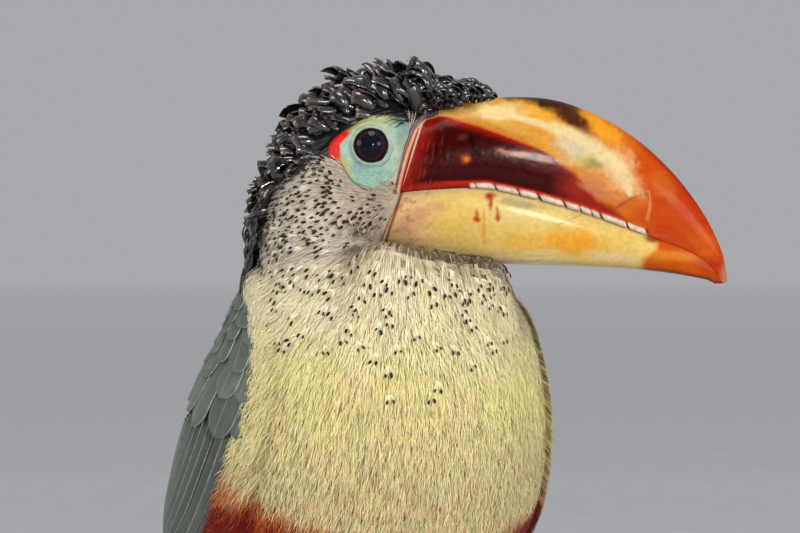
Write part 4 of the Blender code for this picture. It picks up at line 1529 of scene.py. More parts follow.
def make_crest(settings):
    """Curled flakes over the crown, square-ended ones down the nape, and black strands below."""
    rng = np.random.default_rng(31)
    pile = Pile()

    def allowed(ring, angle, place):
        return (ring > 12.6) & (ring < LAST_RING - 0.05) & (cap_share(place) > 0.4)

    row, column = body_spots(allowed, lambda ring, place: settings.curl_spacing / MM, rng)
    place, normal = SKIN.place(row, column), SKIN.normal(row, column)
    heights = crest_heights(place, normal)
    ahead, _, up = to_head(place).T
    crown = ease(up, 12, 17) * ease(ahead, -26, -16) >= 0.5
    back = -AHEAD - 0.15 * UP
    straight = unit(back - normal * (normal @ back)[:, None])
    way = unit(lie(SKIN, row, column) * 0.3 + straight * 0.7)
    spots = place, normal, way, map_place(row, column), heights
    over_bill = front_curl_roots(rng)
    crown_look = {
        "start": 86, "end": -200, "length": settings.curl_length * 1.15,
        "width": settings.curl_width * 1.4, "stray": 0.9, "roll": 0.4, "twist": 0.4,
        "root": 0.4 * MM, "tip": 0.95, "thick": 0.46 * MM, "cup": 0.36, "brown": 0.15,
        "colour": settings.black_colour,
    }
    nape_look = {
        **crown_look, "start": 62, "end": 22, "length": settings.curl_length * 0.6,
        "width": settings.curl_width * 1.45, "stray": 0.42, "twist": 0.5, "root": 0.3 * MM,
        "tip": 1.1, "thick": 0.42 * MM, "cup": 0.45, "brown": 0.95,
    }
    front_look = {**crown_look, "stray": 0.45, "length": settings.curl_length * 0.95}
    groups = [(look, *(value[(heights > 1.5) & pick] for value in spots))
              for look, pick in ((crown_look, crown), (nape_look, ~crown))]
    for look, *where, tall in [*groups, (front_look, *over_bill)]:
        top = (tall + rng.uniform(-1.6, 0.4, len(tall))) * MM
        add_curls(pile, *where, top, look, rng)
        inner = rng.random(len(tall)) < 0.75
        low = {**look, "length": look["length"] * 0.8, "start": look["start"] * 0.8}
        under = top[inner] * rng.uniform(0.4, 0.8, inner.sum())
        add_curls(pile, *(value[inner] for value in where), under, low, rng)
    dress(pile.make("crest_curls", crest_finish()), "crest_black", "crest")
    return make_cap(settings, rng)


def make_cap(settings, rng):
    """Black strands and feathers between the curls and below them."""
    pile = Pile()

    def beside(ring, angle, place):
        cap = (cap_share(place) > 0.4) & ~in_orbit(place, -0.3)
        return (ring > 9.2) & (ring < LAST_RING - 0.05) & cap

    row, column = body_spots(beside, lambda ring, place: 1.3, rng)
    normal = SKIN.normal(row, column)
    up = to_head(SKIN.place(row, column))[:, 2]
    nape = ease(up, -9, -19)
    back = -AHEAD - UP * np.interp(up, [-20, 10], [1.2, 0.25])[:, None]
    way = unit(back - normal * (normal * back).sum(1, keepdims=True))
    strands = {
        "count": 6, "length": (6.5 + 3.5 * nape) * MM, "spread": 0.8 * MM, "fan": 0.14,
        "width": 0.36 * MM, "low": -0.1 * MM, "high": (1.6 + 3.0 * nape) * MM, "loose": (0.5, 1.1),
    }

    def black(row, column):
        return np.tile(np.array(settings.black_colour) * 1.6, (len(row), 1))

    add_tufts(pile, SKIN, row, column, way, strands, rng, black)
    vanes = {
        "length": 8.5 * MM, "width": 2.2 * MM, "low": -0.2 * MM, "high": 4.4 * MM, "end": 0.3,
        "tip": 0.6, "rows": 7, "camber": 0.4 * MM, "round": 0.3, "stray": 0.3,
    }
    low_down = nape > 0.3
    spots = row[low_down], column[low_down], way[low_down]
    add_vanes(pile, SKIN, *spots, vanes, rng, black)
    return dress(pile.make("coat_cap", crest_strand_finish()), "crest_black")


def crest_strand_finish():
    """Glossy black strands."""
    finish = Finish("black_strands", Coat_Weight=0.25, Coat_Roughness=0.2)
    barbs = finish.barbs(12, 2)
    colour = finish.painted(finish.spread(barbs, 0.6, 1.6))
    return finish.done(colour, finish.spread(barbs, 0.25, 0.45), (barbs, 0.1, 0.6))


# ------------------------------------------------------------------ eyes and the skin round them


def face_side(tree, side, ahead, up):
    """How far out the head's side lies there, in mm from its middle."""
    ray = Vector(-LEFT * side)
    found = []
    for a, u in zip(np.ravel(ahead), np.ravel(up)):
        origin = Vector(from_head(np.float64(a), np.float64(side * 60.0), np.float64(u)))
        hit = tree.ray_cast(origin, ray)
        found.append(60.0 - hit[3] / MM if hit[0] is not None else np.nan)
    return np.array(found).reshape(np.shape(ahead))


def make_orbit(settings, name, side):
    """Bare turquoise skin round one eye: a lid ring against the eye, then fine ringed folds."""
    rings, turns = 46, 120
    turn = np.arange(turns) * 2 * np.pi / turns
    share = np.repeat(np.linspace(0, 1, rings)[:, None] ** 1.15, turns, 1)
    opening = settings.eye_opening / MM
    rim = opening * (1 + 0.035 * hump(turn, 0.9, 0.3)) * (1 + 0.05 * hump(turn, 5.35, 0.3))
    reach = orbit_reach(turn) + red_spot(turn) + 0.5
    from_rim = (reach - rim) * share
    radius = rim + from_rim
    ahead, up = radius * np.cos(turn), radius * np.sin(turn)
    out = face_side(chart_tree(OUTLINE), side, ahead, up)
    out = np.where(np.isnan(out), np.nanmin(out), out) + 0.35
    at_rim = EYE_OUT + np.sqrt(EYE_RADIUS**2 - opening**2)
    base = out - (1 - ease(from_rim, 0.0, 3.4)) * (out - at_rim - 0.35)
    lid = 0.55 * hump(from_rim, 0.55, 0.38) - 0.22 * hump(from_rim, 1.35, 0.22)
    wobble = mottling(2.6, 3, ahead, up)
    folds = np.sin(2 * np.pi * (from_rim + 1.9 * wobble) / 0.95) * (0.03 + 0.16 * np.abs(wobble))
    folds *= ease(from_rim, 1.3, 2.2) * (1 - ease(share, 0.75, 0.98))
    pebbles = cloud(np.stack([ahead, up], -1).reshape(-1, 2), 0.7, 9).reshape(ahead.shape) - 0.5
    rough = 0.26 * pebbles * ease(from_rim, 1.5, 3)
    edges = 0.75 * ease(share, 0.86, 1.0) + 0.5 * (1 - ease(from_rim, 0.0, 0.25))
    points = from_head(ahead, side * (base + lid + folds + rough - edges), up).reshape(-1, 3)
    faces = grid_quads(rings, turns)[:, ::-side].tolist()
    obj = finish_mesh("orbit_skin_" + name, points, faces, orbit_finish())
    places = (value.ravel() for value in (ahead, up, from_rim, share))
    paint(obj.data, orbit_colour(settings, *places))
    return dress(obj, "orbit_blue", "orbit_" + name)


def orbit_colour(settings, ahead, up, from_rim, share):
    """Turquoise skin with olive, dusky and violet patches, a pale lid and a red crescent."""
    turn = np.arctan2(up, ahead)
    blur, grain = mottling(2.6, 21, ahead, up), mottling(0.9, 22, ahead, up)
    above = ease(up + 2 * blur, 2.5, 7) * ease(ahead, 7.5, 3)
    low = ease(-up + 2 * blur, 3, 7) * ease(np.abs(ahead + 0.5), 7, 3)
    dusky = 0.7 * ease(np.hypot(ahead + 3.2, up + 5.8), 2.8, 1.0)
    in_front = ease(ahead, 5, 8) * ease(up, 3, 0)
    behind = ease(share, 0.50, 0.82) * ease(-np.cos(turn) + 0.35 * np.sin(turn), 0.0, 0.7)
    violet = ease(np.hypot((ahead - 10.3) / 1.6, (up - 5.2) / 2.4), 1.4, 0.4)
    lid = ease(from_rim + 0.2 * blur, 1.15, 0.75)
    # The groove beyond the lid, below the eye's middle, is painted darker: a painted shade.
    groove_shade = ease(np.abs(from_rim + 0.3 * blur - 1.5), 0.35, 0.1) * ease(-up, -1, 2)
    away = np.hypot(ahead, up) - orbit_reach(turn)
    red = ease(away + 0.9 * blur, -0.9, -0.1) * ease(red_spot(turn), 0.15, 0.9)
    red += ease(share, 0.88, 0.97) * ease(np.abs(turn - 1.3), 0.28, 0.1)
    under = ease(share, 0.9, 0.98) * ease(np.abs(turn + 1.6), 0.22, 0.08)
    colour = layered(
        np.tile(settings.orbit_colour, (len(ahead), 1)),
        ((0.47, 0.53, 0.27), above),
        ((0.26, 0.47, 0.37), low),
        ((0.20, 0.36, 0.40), dusky),
        ((0.44, 0.58, 0.46), in_front),
        ((0.48, 0.40, 0.09), behind),
        ((0.33, 0.41, 0.56), violet),
        ((0.38, 0.53, 0.50), lid),
        ((0.06, 0.07, 0.07), ease(from_rim, 0.40, 0.16) * 0.9),
        ((0.22, 0.30, 0.33), 0.65 * groove_shade),
        (settings.crescent_colour, np.clip(red, 0, 1)),
        ((0.50, 0.16, 0.03), under),
    )
    shaded = (0.74, 0.70, 0.66) * (1 - 0.35 * ease(ahead, 5.5, 8.5))[:, None]
    return colour * shaded * (1 + 0.30 * blur + 0.34 * grain)[:, None]


def orbit_finish():
    """Soft bare skin in fine pebbles."""
    finish = Finish(
        "orbit_skin", Subsurface_Weight=0.15, Subsurface_Scale=0.002, Specular_IOR_Level=0.3
    )
    cells = finish.cells(0.55, finish.place(), 0.7, 0.9)
    colour = finish.painted(finish.spread(cells, 1.06, 0.86, 0, 1))
    return finish.done(colour, finish.spread(finish.noise(1.1), 0.36, 0.56), (cells, 0.06, 0.7))


def make_eye(settings, name, side):
    """A clear dark eyeball with a brown iris round a navy-black pupil."""
    turns, rings = 96, 56
    tip = np.linspace(0, math.pi * 0.92, rings)[:, None]
    around = np.arange(turns) * 2 * np.pi / turns
    radius = settings.eye_radius / MM
    out = EYE_OUT + radius * (1 + 0.035 * hump(tip, 0, 0.45)) * np.cos(tip)
    wide = radius * np.sin(tip)
    points = from_head(wide * np.cos(around), side * out, wide * np.sin(around)).reshape(-1, 3)
    faces = grid_quads(rings, turns)[:, ::-side].tolist()
    last = (rings - 1) * turns
    faces.append(range(last, last + turns))
    obj = finish_mesh("eyeball_" + name, points, faces, eye_finish())
    wide = np.repeat(wide, turns)
    grain = mottling(0.5, 6, np.tile(around, rings) * 4, wide * 0.8)
    colour = mix(settings.pupil_colour, settings.iris_colour, ease(wide, 3.0, 3.4))
    rim = (0.008, 0.005, 0.005), ease(wide, 4.1, 4.5)
    paint(obj.data, layered(colour * (1 + 0.6 * grain[:, None]), rim))
    return dress(obj, "eye_dark", "eye_" + name)


def eye_finish():
    """The wet surface of the eye."""
    finish = Finish("eyeball", Coat_Weight=0.10, Coat_Roughness=0.01, Specular_IOR_Level=0.05)
    colour = finish.painted(finish.spread(finish.noise(0.35), 0.8, 1.25))
    rough = finish.spread(finish.noise(1.5), 0.05, 0.10)
    return finish.done(colour, rough, (finish.noise(2.0), 0.004, 0.3))


# ------------------------------------------------------------------ bill

# The cream line at the panel's base, and the top of the panel: (up, ahead) and (ahead, up).
PANEL_BASE = ((-11.9, 7.5), (-7.8, 8.4), (-1.9, 10.0), (4.1, 12.2), (7.0, 14.6), (8.3, 18.6))
PANEL_TOP = (
    (12.5, 7.2), (17.0, 8.1), (21.0, 7.8), (28.4, 5.7), (35.9, 3.0), (42.9, 0.3), (48.9, -2.6),
    (53.7, -6.4), (57.5, -10.6), (62, -14.2), (66.5, -17.9), (72, -23), (80, -45), (99, -60),
)
# The back edge of the mauve strip between the bill and the face: (up, ahead).
STRIP_BACK = ((-12, 5.2), (-5.8, 6.9), (0.5, 8.7), (5.5, 10.5), (7.0, 12.8), (9.8, 14.2))
# Lines on the bill, each of (ahead, up, half width): a crack and a pale scar over the front
# teeth, a crease low down, and a pale streak along the side.
CRACK_LINE = ((65.6, -16.6, 0.3), (69.9, -14.1, 0.3), (74.3, -12.6, 0.3), (74.6, -14.6, 0.2))
PALE_LINE = ((74.5, -12.4, 0.6), (75.0, -16.0, 0.55), (74.2, -19.6, 0.5))
CREASE_LINE = ((50.0, -21.3, 0.3), (56.2, -18.4, 0.3))
IVORY_STREAK = (
    (30, 7.6, 0.5), (38, 7.9, 0.9), (45.6, 6.2, 1.3), (53.7, 3.4, 1.9), (59, 0.6, 2.4),
    (64.5, -3.8, 2.8), (68.5, -8.8, 2.2), (69.5, -13, 0.8),
)
# Where each tooth starts and ends, in mm ahead.
TEETH = (
    (26.5, 28.4), (28.6, 33.5), (34.0, 39.7), (40.2, 45.0), (45.9, 52.0), (52.6, 56.4),
    (56.7, 59.4), (59.7, 61.8), (62.4, 68.9), (69.4, 74.3),
)
TOOTH_HEIGHT = 1.25
# The upper bill's colour from base to tip: mm ahead, colour.
UPPER_GROUND = (
    (16, (0.62, 0.36, 0.11)), (30, (0.72, 0.47, 0.16)), (45, (0.68, 0.36, 0.06)),
    (60, (0.66, 0.27, 0.03)), (70, (0.60, 0.15, 0.016)), (78, (0.56, 0.085, 0.009)),
    (92, (0.50, 0.050, 0.006)),
)
# Stains and patches, with a painted highlight among the upper bill's and a painted reflection among
# the panel's: ahead, up, half length, half height, tilt in degrees, colour, strength.
UPPER_PATCHES = (
    (26.0, 10.9, 4.6, 1.5, 8, (0.40, 0.17, 0.05), 0.75),
    # This bright cream patch on the top of the bill is a painted highlight.
    (33.5, 9.9, 7.0, 2.2, 0, (0.80, 0.63, 0.31), 0.95),
    (31.0, 12.0, 4.5, 0.9, 6, (0.74, 0.36, 0.07), 0.7),
    (39.0, 13.4, 6.0, 1.0, -2, (0.13, 0.06, 0.025), 0.85),
    (45.5, 9.6, 5.0, 1.9, -14, (0.80, 0.42, 0.05), 0.9),
    (50.0, 6.6, 4.5, 1.1, -26, (0.76, 0.40, 0.07), 0.8),
    (49.0, 12.0, 8.0, 2.0, -9, (0.040, 0.018, 0.010), 0.95),
    (54.2, 7.7, 6.6, 2.7, -33, (0.085, 0.026, 0.011), 0.95),
    (62.0, 5.4, 6.8, 2.6, -42, (0.80, 0.38, 0.04), 0.9),
    (48.5, 3.2, 5.0, 1.4, -20, (0.68, 0.35, 0.07), 0.85),
    (55.5, -0.6, 6.5, 3.6, -28, (0.66, 0.59, 0.42), 0.9),
    (65.5, -5.5, 6.5, 4.6, -45, (0.75, 0.54, 0.28), 0.9),
    (70.0, -11.0, 4.8, 3.0, -45, (0.74, 0.44, 0.20), 0.8),
    (59.6, -5.0, 2.6, 1.8, -15, (0.35, 0.34, 0.10), 0.8),
    (56.3, -4.2, 2.0, 1.3, -20, (0.60, 0.46, 0.13), 0.6),
    (67.5, -7.8, 0.8, 0.7, 0, (0.70, 0.24, 0.05), 0.75),
    (59.5, -11.3, 6.0, 2.4, -25, (0.54, 0.22, 0.14), 0.7),
    (65.0, -13.2, 3.5, 1.3, -20, (0.66, 0.30, 0.14), 0.6),
    (71.6, -15.4, 2.8, 1.5, -22, (0.66, 0.17, 0.02), 0.85),
    (83.0, -20.5, 9.0, 4.2, -48, (0.58, 0.110, 0.010), 0.75),
    (90.0, -26.5, 6.0, 3.4, -55, (0.64, 0.150, 0.020), 0.85),
    (78.5, -10.0, 6.0, 2.4, -50, (0.62, 0.20, 0.03), 0.6),
)
PANEL_PATCHES = (
    (47.0, -4.0, 7.0, 3.2, -22, (0.17, 0.014, 0.010), 0.7),
    # These two are a painted reflection: a small orange spot of light on the panel, with its halo.
    (25.4, -3.5, 1.5, 1.4, 0, (0.45, 0.10, 0.02), 0.8),
    (25.5, -3.6, 0.7, 0.7, 0, (0.80, 0.36, 0.07), 0.55),
    (35.0, -1.3, 2.0, 0.5, -14, (0.62, 0.20, 0.04), 0.9),
    (39.2, -2.3, 3.3, 0.9, -7, (0.46, 0.24, 0.17), 0.85),
    (46.6, -3.3, 1.9, 1.2, 0, (0.30, 0.11, 0.08), 0.8),
    (27.2, 0.6, 3.3, 0.55, -76, (0.022, 0.003, 0.003), 0.95),
    (28.0, -2.2, 1.2, 0.7, 20, (0.022, 0.003, 0.003), 0.8),
    (24.5, 2.4, 1.6, 0.8, 25, (0.20, 0.05, 0.04), 0.5),
    (57.0, -11.0, 2.6, 0.8, -30, (0.60, 0.24, 0.12), 0.6),
)
LOWER_PATCHES = (
    (54.5, -25.6, 9.0, 3.4, -5, (0.82, 0.41, 0.042), 0.9),
    (41.0, -26.0, 7.5, 2.6, -8, (0.79, 0.48, 0.09), 0.7),
    (24.0, -20.5, 6.5, 4.5, 0, (0.77, 0.53, 0.15), 0.6),
    (38.0, -17.5, 9.0, 3.0, -8, (0.73, 0.61, 0.27), 0.7),
    (66.0, -24.0, 5.0, 4.5, 0, (0.76, 0.53, 0.17), 0.7),
    (66.0, -30.0, 6.0, 1.8, -4, (0.78, 0.60, 0.38), 0.75),
    (40.0, -15.8, 5.4, 1.1, -10, (0.38, 0.34, 0.20), 0.7),
    (31.9, -13.4, 1.5, 1.1, 0, (0.46, 0.020, 0.010), 0.95),
    (32.0, -15.4, 0.6, 1.5, 0, (0.46, 0.030, 0.014), 0.9),
    (28.4, -18.3, 0.5, 1.6, 8, (0.44, 0.050, 0.020), 0.85),
    (28.3, -19.6, 1.0, 0.8, 0, (0.44, 0.050, 0.020), 0.85),
    (33.9, -17.8, 0.45, 1.9, 8, (0.46, 0.060, 0.024), 0.85),
    (33.9, -19.2, 0.8, 0.8, 0, (0.46, 0.060, 0.024), 0.8),
    (30.3, -18.5, 0.4, 2.2, 0, (0.66, 0.34, 0.10), 0.7),
    (30.2, -23.0, 0.4, 3.0, 0, (0.68, 0.28, 0.06), 0.7),
    (13.0, -18.2, 3.0, 2.2, 20, (0.58, 0.30, 0.14), 0.5),
    (18.0, -16.0, 2.2, 1.0, -20, (0.56, 0.34, 0.18), 0.5),
    (9.5, -22.0, 2.4, 3.0, 10, (0.60, 0.30, 0.19), 0.5),
)


RIDGE, EDGE, KEEL = 0, 2, 4  # where each line starts in the rows of BILL


def bill_line(ahead, line):
    """The height of the bill's ridge, cutting edge or keel."""
    table = np.array(BILL)
    return np.interp(ahead, table[:, line], table[:, line + 1])


def patches(colour, ahead, up, table, seed):
    """Soft-edged patches over a colour: stains, and on the upper bill a painted highlight and a
    painted reflection.
    """
    ragged = mottling(2.2, seed, ahead, up)
    fine = mottling(0.8, seed + 1, ahead, up)
    for k, (a, u, long, high, tilt, stain, strength) in enumerate(table):
        c, s = math.cos(math.radians(tilt)), math.sin(math.radians(tilt))
        da, du = ahead - a, up - u
        away = np.hypot((da * c + du * s) / long, (-da * s + du * c) / high)
        share = ease(away + 0.8 * ragged * (-1) ** k + 0.35 * fine, 1.5, 0.35)
        colour = mix(colour, stain, strength * share)
    return colour


def streak_share(ahead, up, line):
    """1 on a line of (ahead, up, half width), falling to 0 at its edges."""
    best = np.full(len(ahead), -9.0)
    for (a0, u0, w0), (a1, u1, w1) in zip(line, line[1:]):
        da, du = a1 - a0, u1 - u0
        along = np.clip(((ahead - a0) * da + (up - u0) * du) / (da**2 + du**2), 0, 1)
        away = np.hypot(ahead - a0 - along * da, up - u0 - along * du)
        best = np.maximum(best, 1 - away / (w0 + along * (w1 - w0)))
    return best


def upper_colour(settings, ahead, left, up):
    """The maroon panel and the stained ivory, orange and black of the upper bill, with painted
    highlights on its top and near the tip, a painted reflection on the panel and a painted shadow
    under the teeth.
    """
    grain = mottling(1.6, 41, ahead / 3.5, up, left)
    blotch = mottling(5.0, 42, ahead, up)
    edge = bill_line(ahead, EDGE)
    stops, grounds = zip(*UPPER_GROUND)
    colour = np.stack([np.interp(ahead + 5 * blotch, stops, part) for part in zip(*grounds)], -1)
    warp = up + 1.2 * blotch + 0.9 * grain
    colour = patches(colour, ahead, warp, UPPER_PATCHES, 43)
    streak = 0.85 * ease(streak_share(ahead, warp, IVORY_STREAK), -0.35, 0.7)
    above = up - np.interp(ahead, *np.array(PANEL_TOP).T)
    before = ahead - np.interp(up, *np.array(PANEL_BASE).T)
    olive = 0.9 * ease(above + blotch, 3.0, 0.6) * ease(ahead, 20, 26) * ease(ahead, 48, 40)
    ragged = 2.6 * blotch * ease(ahead, 44, 54) + 0.5 * grain
    inside = np.minimum(-above + ragged, before)
    soft = 0.35 + 1.6 * ease(ahead, 44, 56)
    depth = np.minimum(inside / 2.6, (up - edge - 1.2) / 1.3)
    deep = ease(np.minimum(depth, before / 6.5) + 0.4 * grain, 0.0, 1.15)
    faded = 0.8 * ease(ahead + 5 * blotch, 48, 56)
    core = layered((0.40, 0.024, 0.012), (settings.panel_colour, deep), ((0.40, 0.035, 0.018), faded))
    core = patches(core, ahead, up, PANEL_PATCHES, 44)
    scratch = ease(mottling(0.9, 45, ahead * 2.4 - up * 0.5, up * 0.25), 0.14, 0.3)
    core = mix(core, (0.40, 0.14, 0.10), 0.30 * scratch * ease(ahead, 26, 14))
    glow = ease(np.abs(above + 0.15), 0.55, 0.12) * ease(ahead, 19, 24) * ease(ahead, 46, 42)
    over_teeth = np.abs(up - edge - TOOTH_HEIGHT - 0.35)
    low_glow = ease(over_teeth, 0.65, 0.1) * ease(ahead, 16, 22) * ease(ahead, 74, 64)
    crack = ease(streak_share(ahead, up + 0.8 * blotch, CRACK_LINE), -0.2, 0.7)
    # A rosy band just above the cutting edge near the tip, patchy with the grain: a painted highlight.
    rosy_highlight = ease(np.abs(up - edge - 1.8), 1.6, 0.3) * ease(ahead, 74, 77) * ease(ahead, 87, 82)
    on_ridge = ease(bill_line(ahead, RIDGE) - up, 2.2, 0.2) * ease(ahead, 66, 80)
    colour = layered(
        colour,
        ((0.76, 0.63, 0.36), streak),
        ((0.58, 0.28, 0.045), olive),
        (core, ease(inside, -0.5 * soft, soft)),
        ((0.68, 0.20, 0.03), 0.7 * glow),
        ((0.58, 0.05, 0.014), 0.85 * low_glow),
        ((0.74, 0.36, 0.13), 0.6 * ease(streak_share(ahead, up, PALE_LINE), -0.3, 0.6)),
        ((0.22, 0.10, 0.09), 0.75 * crack),
        ((0.50, 0.15, 0.10), 0.55 * rosy_highlight * ease(grain, -0.1, 0.15)),
        ((0.28, 0.035, 0.02), 0.7 * on_ridge * ease(ahead, 91, 84)),
    )
    ridged = 0.5 + 0.5 * np.sin(2 * np.pi * (0.25 * grain - before) / 0.95)
    bark = mix((0.13, 0.075, 0.075), (0.36, 0.27, 0.25), ridged)
    cream = ease(np.abs(before + 0.15), 0.55, 0.2) * ease(up, 9.2, 8.2)
    colour = layered(
        colour,
        (bark, ease(-before, 0.35, 0.75)),
        ((0.76, 0.40, 0.27), cream),
        ((0.50, 0.22, 0.12), ease(ahead - 0.25 * (up + 30), 94.0, 96.4)),
    )
    return toothed(colour * (1 + 0.20 * grain[:, None]), ahead, up)


def toothed(colour, ahead, up):
    """The ivory teeth and the dark gaps between them, along the cutting edge, with a painted shadow
    along the teeth's lower edge.
    """
    rise = up - bill_line(ahead, EDGE)
    on_tooth, near_edge = tooth_share(ahead, rise)
    grime = mottling(0.9, 46, ahead, up)
    ivory = mix((0.20, 0.06, 0.04), (0.76, 0.64, 0.52), on_tooth) * (1 + 0.5 * grime[:, None])
    # dull darkens each tooth just above the cutting edge: a painted shadow along the teeth's lower
    # edge.
    dull = (0.42, 0.26, 0.17), 0.6 * ease(rise, 0.55, 0.1) * on_tooth
    return mix(colour, layered(ivory, dull), near_edge)


def tooth_share(ahead, rise):
    """1 on a tooth and 0 in the gaps, and 1 near the cutting edge."""
    leaning = ahead + 0.5 * rise
    body = np.zeros_like(leaning)
    for start, end in TEETH:
        one = ease(leaning, start - 0.1, start + 0.2) * ease(leaning, end + 0.1, end - 0.2)
        body = np.maximum(body, one)
    first, last = TEETH[0][0], TEETH[-1][1]
    within = ease(ahead, first - 0.5, first + 0.3) * ease(ahead, last + 0.6, last - 0.3)
    return body * within, ease(rise, TOOTH_HEIGHT + 0.35, TOOTH_HEIGHT - 0.25) * within


def lower_colour(settings, ahead, left, up):
    """The stained ivory of the lower bill, with its dark keel and flame-red tip."""
    grain = mottling(1.8, 51, ahead / 3.0, up, left)
    blotch = mottling(4.5, 52, ahead, up)
    over_keel = up - bill_line(ahead, KEEL)
    behind = np.interp(up, (-26.6, -12.4), (3.9, 8.7)) - ahead
    colour = mix(settings.bill_colour, (0.75, 0.56, 0.20), ease(ahead + 5 * blotch, 12, 22))
    colour = patches(colour, ahead, up + blotch, LOWER_PATCHES, 53)
    keel_pale = ease(over_keel + 1.4 * blotch, 5.0, 1.2) * ease(ahead, 60, 46)
    striped = 1 + 0.5 * mottling(0.7, 55, ahead / 9, up)[:, None]
    lobe = 72.5 + 3.2 * ease(up, -31, -27) + 1.2 * ease(up, -26, -22)
    flame = layered(
        (0.60, 0.13, 0.012),
        ((0.66, 0.24, 0.03), ease(np.abs(up + 29.5 + 2 * blotch), 2.4, 0.4)),
        ((0.50, 0.09, 0.012), ease(ahead + 4 * blotch, 84, 92)),
    )
    dark_keel = ease(over_keel, 1.3, 0.1) * ease(ahead, 70, 76)
    dark_corner = ease(np.hypot((ahead - 76) / 2.4, (up + 24.6) / 1.3), 1.4, 0.5)
    pale_edge = ease(bill_line(ahead, EDGE) - up, 1.8, 0.5) * ease(ahead, 74, 66)
    mottle = ease(mottling(1.0, 54, ahead, up), 0.10, 0.26) * ease(ahead, 21, 10)
    colour = layered(
        colour,
        (np.array((0.72, 0.60, 0.36)) * striped, 0.8 * keel_pale),
        (flame, ease(ahead + 3 * blotch, lobe - 0.8, lobe + 1.6)),
        ((0.20, 0.045, 0.014), 0.75 * dark_keel),
        ((0.30, 0.024, 0.014), 0.8 * dark_corner),
        ((0.78, 0.64, 0.40), 0.6 * pale_edge),
        ((0.42, 0.20, 0.12), 0.5 * mottle),
        ((0.34, 0.10, 0.04), 0.85 * ease(np.abs(behind - 0.3), 0.6, 0.2)),
        ((0.42, 0.30, 0.14), 0.5 * ease(streak_share(ahead, up, CREASE_LINE), -0.2, 0.8)),
    )
    return colour * (1 + 0.14 * grain[:, None])


def base_skirt(shell, ahead, left, up, upper):
    """Rows behind the bill's base, lying on the head, that carry the strip round it.

    shell is how many of the columns are the bill's outside. The rest stay inside the head.
    """
    rows = 15
    back = ahead - np.interp(up, *np.array(STRIP_BACK).T) if upper else np.full(len(ahead), 1.3)
    start = from_head(ahead, left, up)
    middle = HEAD + AHEAD * 4 * MM - UP * 8 * MM
    tree = chart_tree(OUTLINE)
    skirt = []
    for share in np.arange(rows, 0, -1) / rows:
        spots = start - AHEAD * (back * share)[:, None] * MM
        weight = ease(share, 0.0, 0.45)
        proud = (0.30 - 3 * max(0.0, share - 0.85)) * MM
        for c in range(shell):
            spot, normal, _, _ = tree.find_nearest(Vector(spots[c]))
            out = normal if normal.dot(Vector(spots[c] - middle)) > 0 else -normal
            spots[c] = spots[c] * (1 - weight) + np.array(spot + out * proud) * weight
        skirt.append(to_head(spots))
    return np.moveaxis(np.array(skirt), -1, 0)


def bill_piece(settings, name, upper):
    """One half of the bill, lofted along the same rows as the part."""
    arc, floor = 72, 10
    t = np.linspace(0, 1, 300)
    sizes = rows_at(BILL, (len(BILL) - 1) * (0.72 * t + 0.28 * (1 - (1 - t) ** 2)))
    ridge, edge, keel, half = np.split(sizes, (2, 4, 6), axis=1)
    far = ridge if upper else keel
    reach = np.linalg.norm(far - edge, axis=1, keepdims=True)
    along = (far - edge) / reach
    last = TEETH[-1][1]
    beyond = ease(edge[:, :1], last - 1, last + 1) if upper else 1.0
    start = TOMIUM_GAP / 2 * (1 - beyond) + 0.02
    a = np.pi / 2 * (np.linspace(0, 1, arc) ** 1.5)
    fullness = 2.5 if upper else 2.9
    rise, wide = np.sin(a) ** (2 / fullness), np.cos(a) ** (2 / fullness)
    wide[-1] = 0
    up_by = start + rise * (reach - start)
    out_by = half * (1.0 if upper else 0.93) * wide * (1 - 0.10 * (1 - rise) ** 3)
    ahead = edge[:, :1] + along[:, :1] * up_by
    if upper:
        on_tooth, near_edge = tooth_share(ahead, up_by)
        out_by = out_by + near_edge * (0.46 * on_tooth - 0.25) * ease(up_by, 0.0, 0.3)
        up_by = up_by - near_edge * 0.45 * on_tooth * ease(up_by, 1.0, 0.2)
    else:
        out_by = out_by - 0.35 * ease(up_by, 1.3, 0.2) * ease(ahead, last, last - 4)
    ahead, up = (edge[:, k : k + 1] + along[:, k : k + 1] * up_by for k in (0, 1))
    flat = np.linspace(-1, 1, floor + 2)[1:-1]

    def all_round(outside, inside):
        return np.concatenate([outside, inside[:, -2::-1]], 1)

    left = np.concatenate([all_round(out_by, -out_by), flat * out_by[:, :1]], 1)
    ahead, up = (
        np.concatenate([all_round(line, line), np.repeat(line[:, :1], floor, 1)], 1)
        for line in (ahead, up)
    )
    columns = ahead.shape[1]
    skirt = base_skirt(columns - floor, ahead[0], left[0], up[0], upper)
    ahead, left, up = (np.concatenate(pair) for pair in zip(skirt, (ahead, left, up)))
    rows = len(ahead)
    faces = grid_quads(rows, columns).tolist()
    faces.append(range(columns))
    faces.append(range(rows * columns - 1, (rows - 1) * columns - 1, -1))
    obj = facing_out(finish_mesh(name, from_head(ahead, left, up).reshape(-1, 3), faces))
    colour_of = upper_colour if upper else lower_colour
    colour = colour_of(settings, ahead.ravel(), left.ravel(), up.ravel())
    paint(obj.data, np.clip(colour, 0, 1) ** 1.25 * 0.76)
    return obj


def bill_finish(name, stretch):
    """Polished horn with long growth grain, dull scuffs and shallow waves."""
    finish = Finish(
        name, Coat_Weight=0.04, Coat_Roughness=0.08, Specular_IOR_Level=0.03,
        Subsurface_Weight=0.08, Subsurface_Scale=0.002,
    )
    grain = finish.noise(1 / MM, finish.place(stretch), 4.0)
    rough = finish.spread(finish.noise(2.2, None, 5.0, 0.7), 0.14, 0.34)
    colour = finish.painted(finish.spread(grain, 0.90, 1.10))
    return finish.done(colour, rough, (grain, 0.08, 0.5), (finish.noise(7), 0.35, 0.5))


def make_bill(settings, name, upper, slot, node):
    piece = bill_piece(settings, name, upper)
    piece.data.materials.append(bill_finish(name + "_horn", (900, 260, 900)))
    return dress(piece, slot, node)


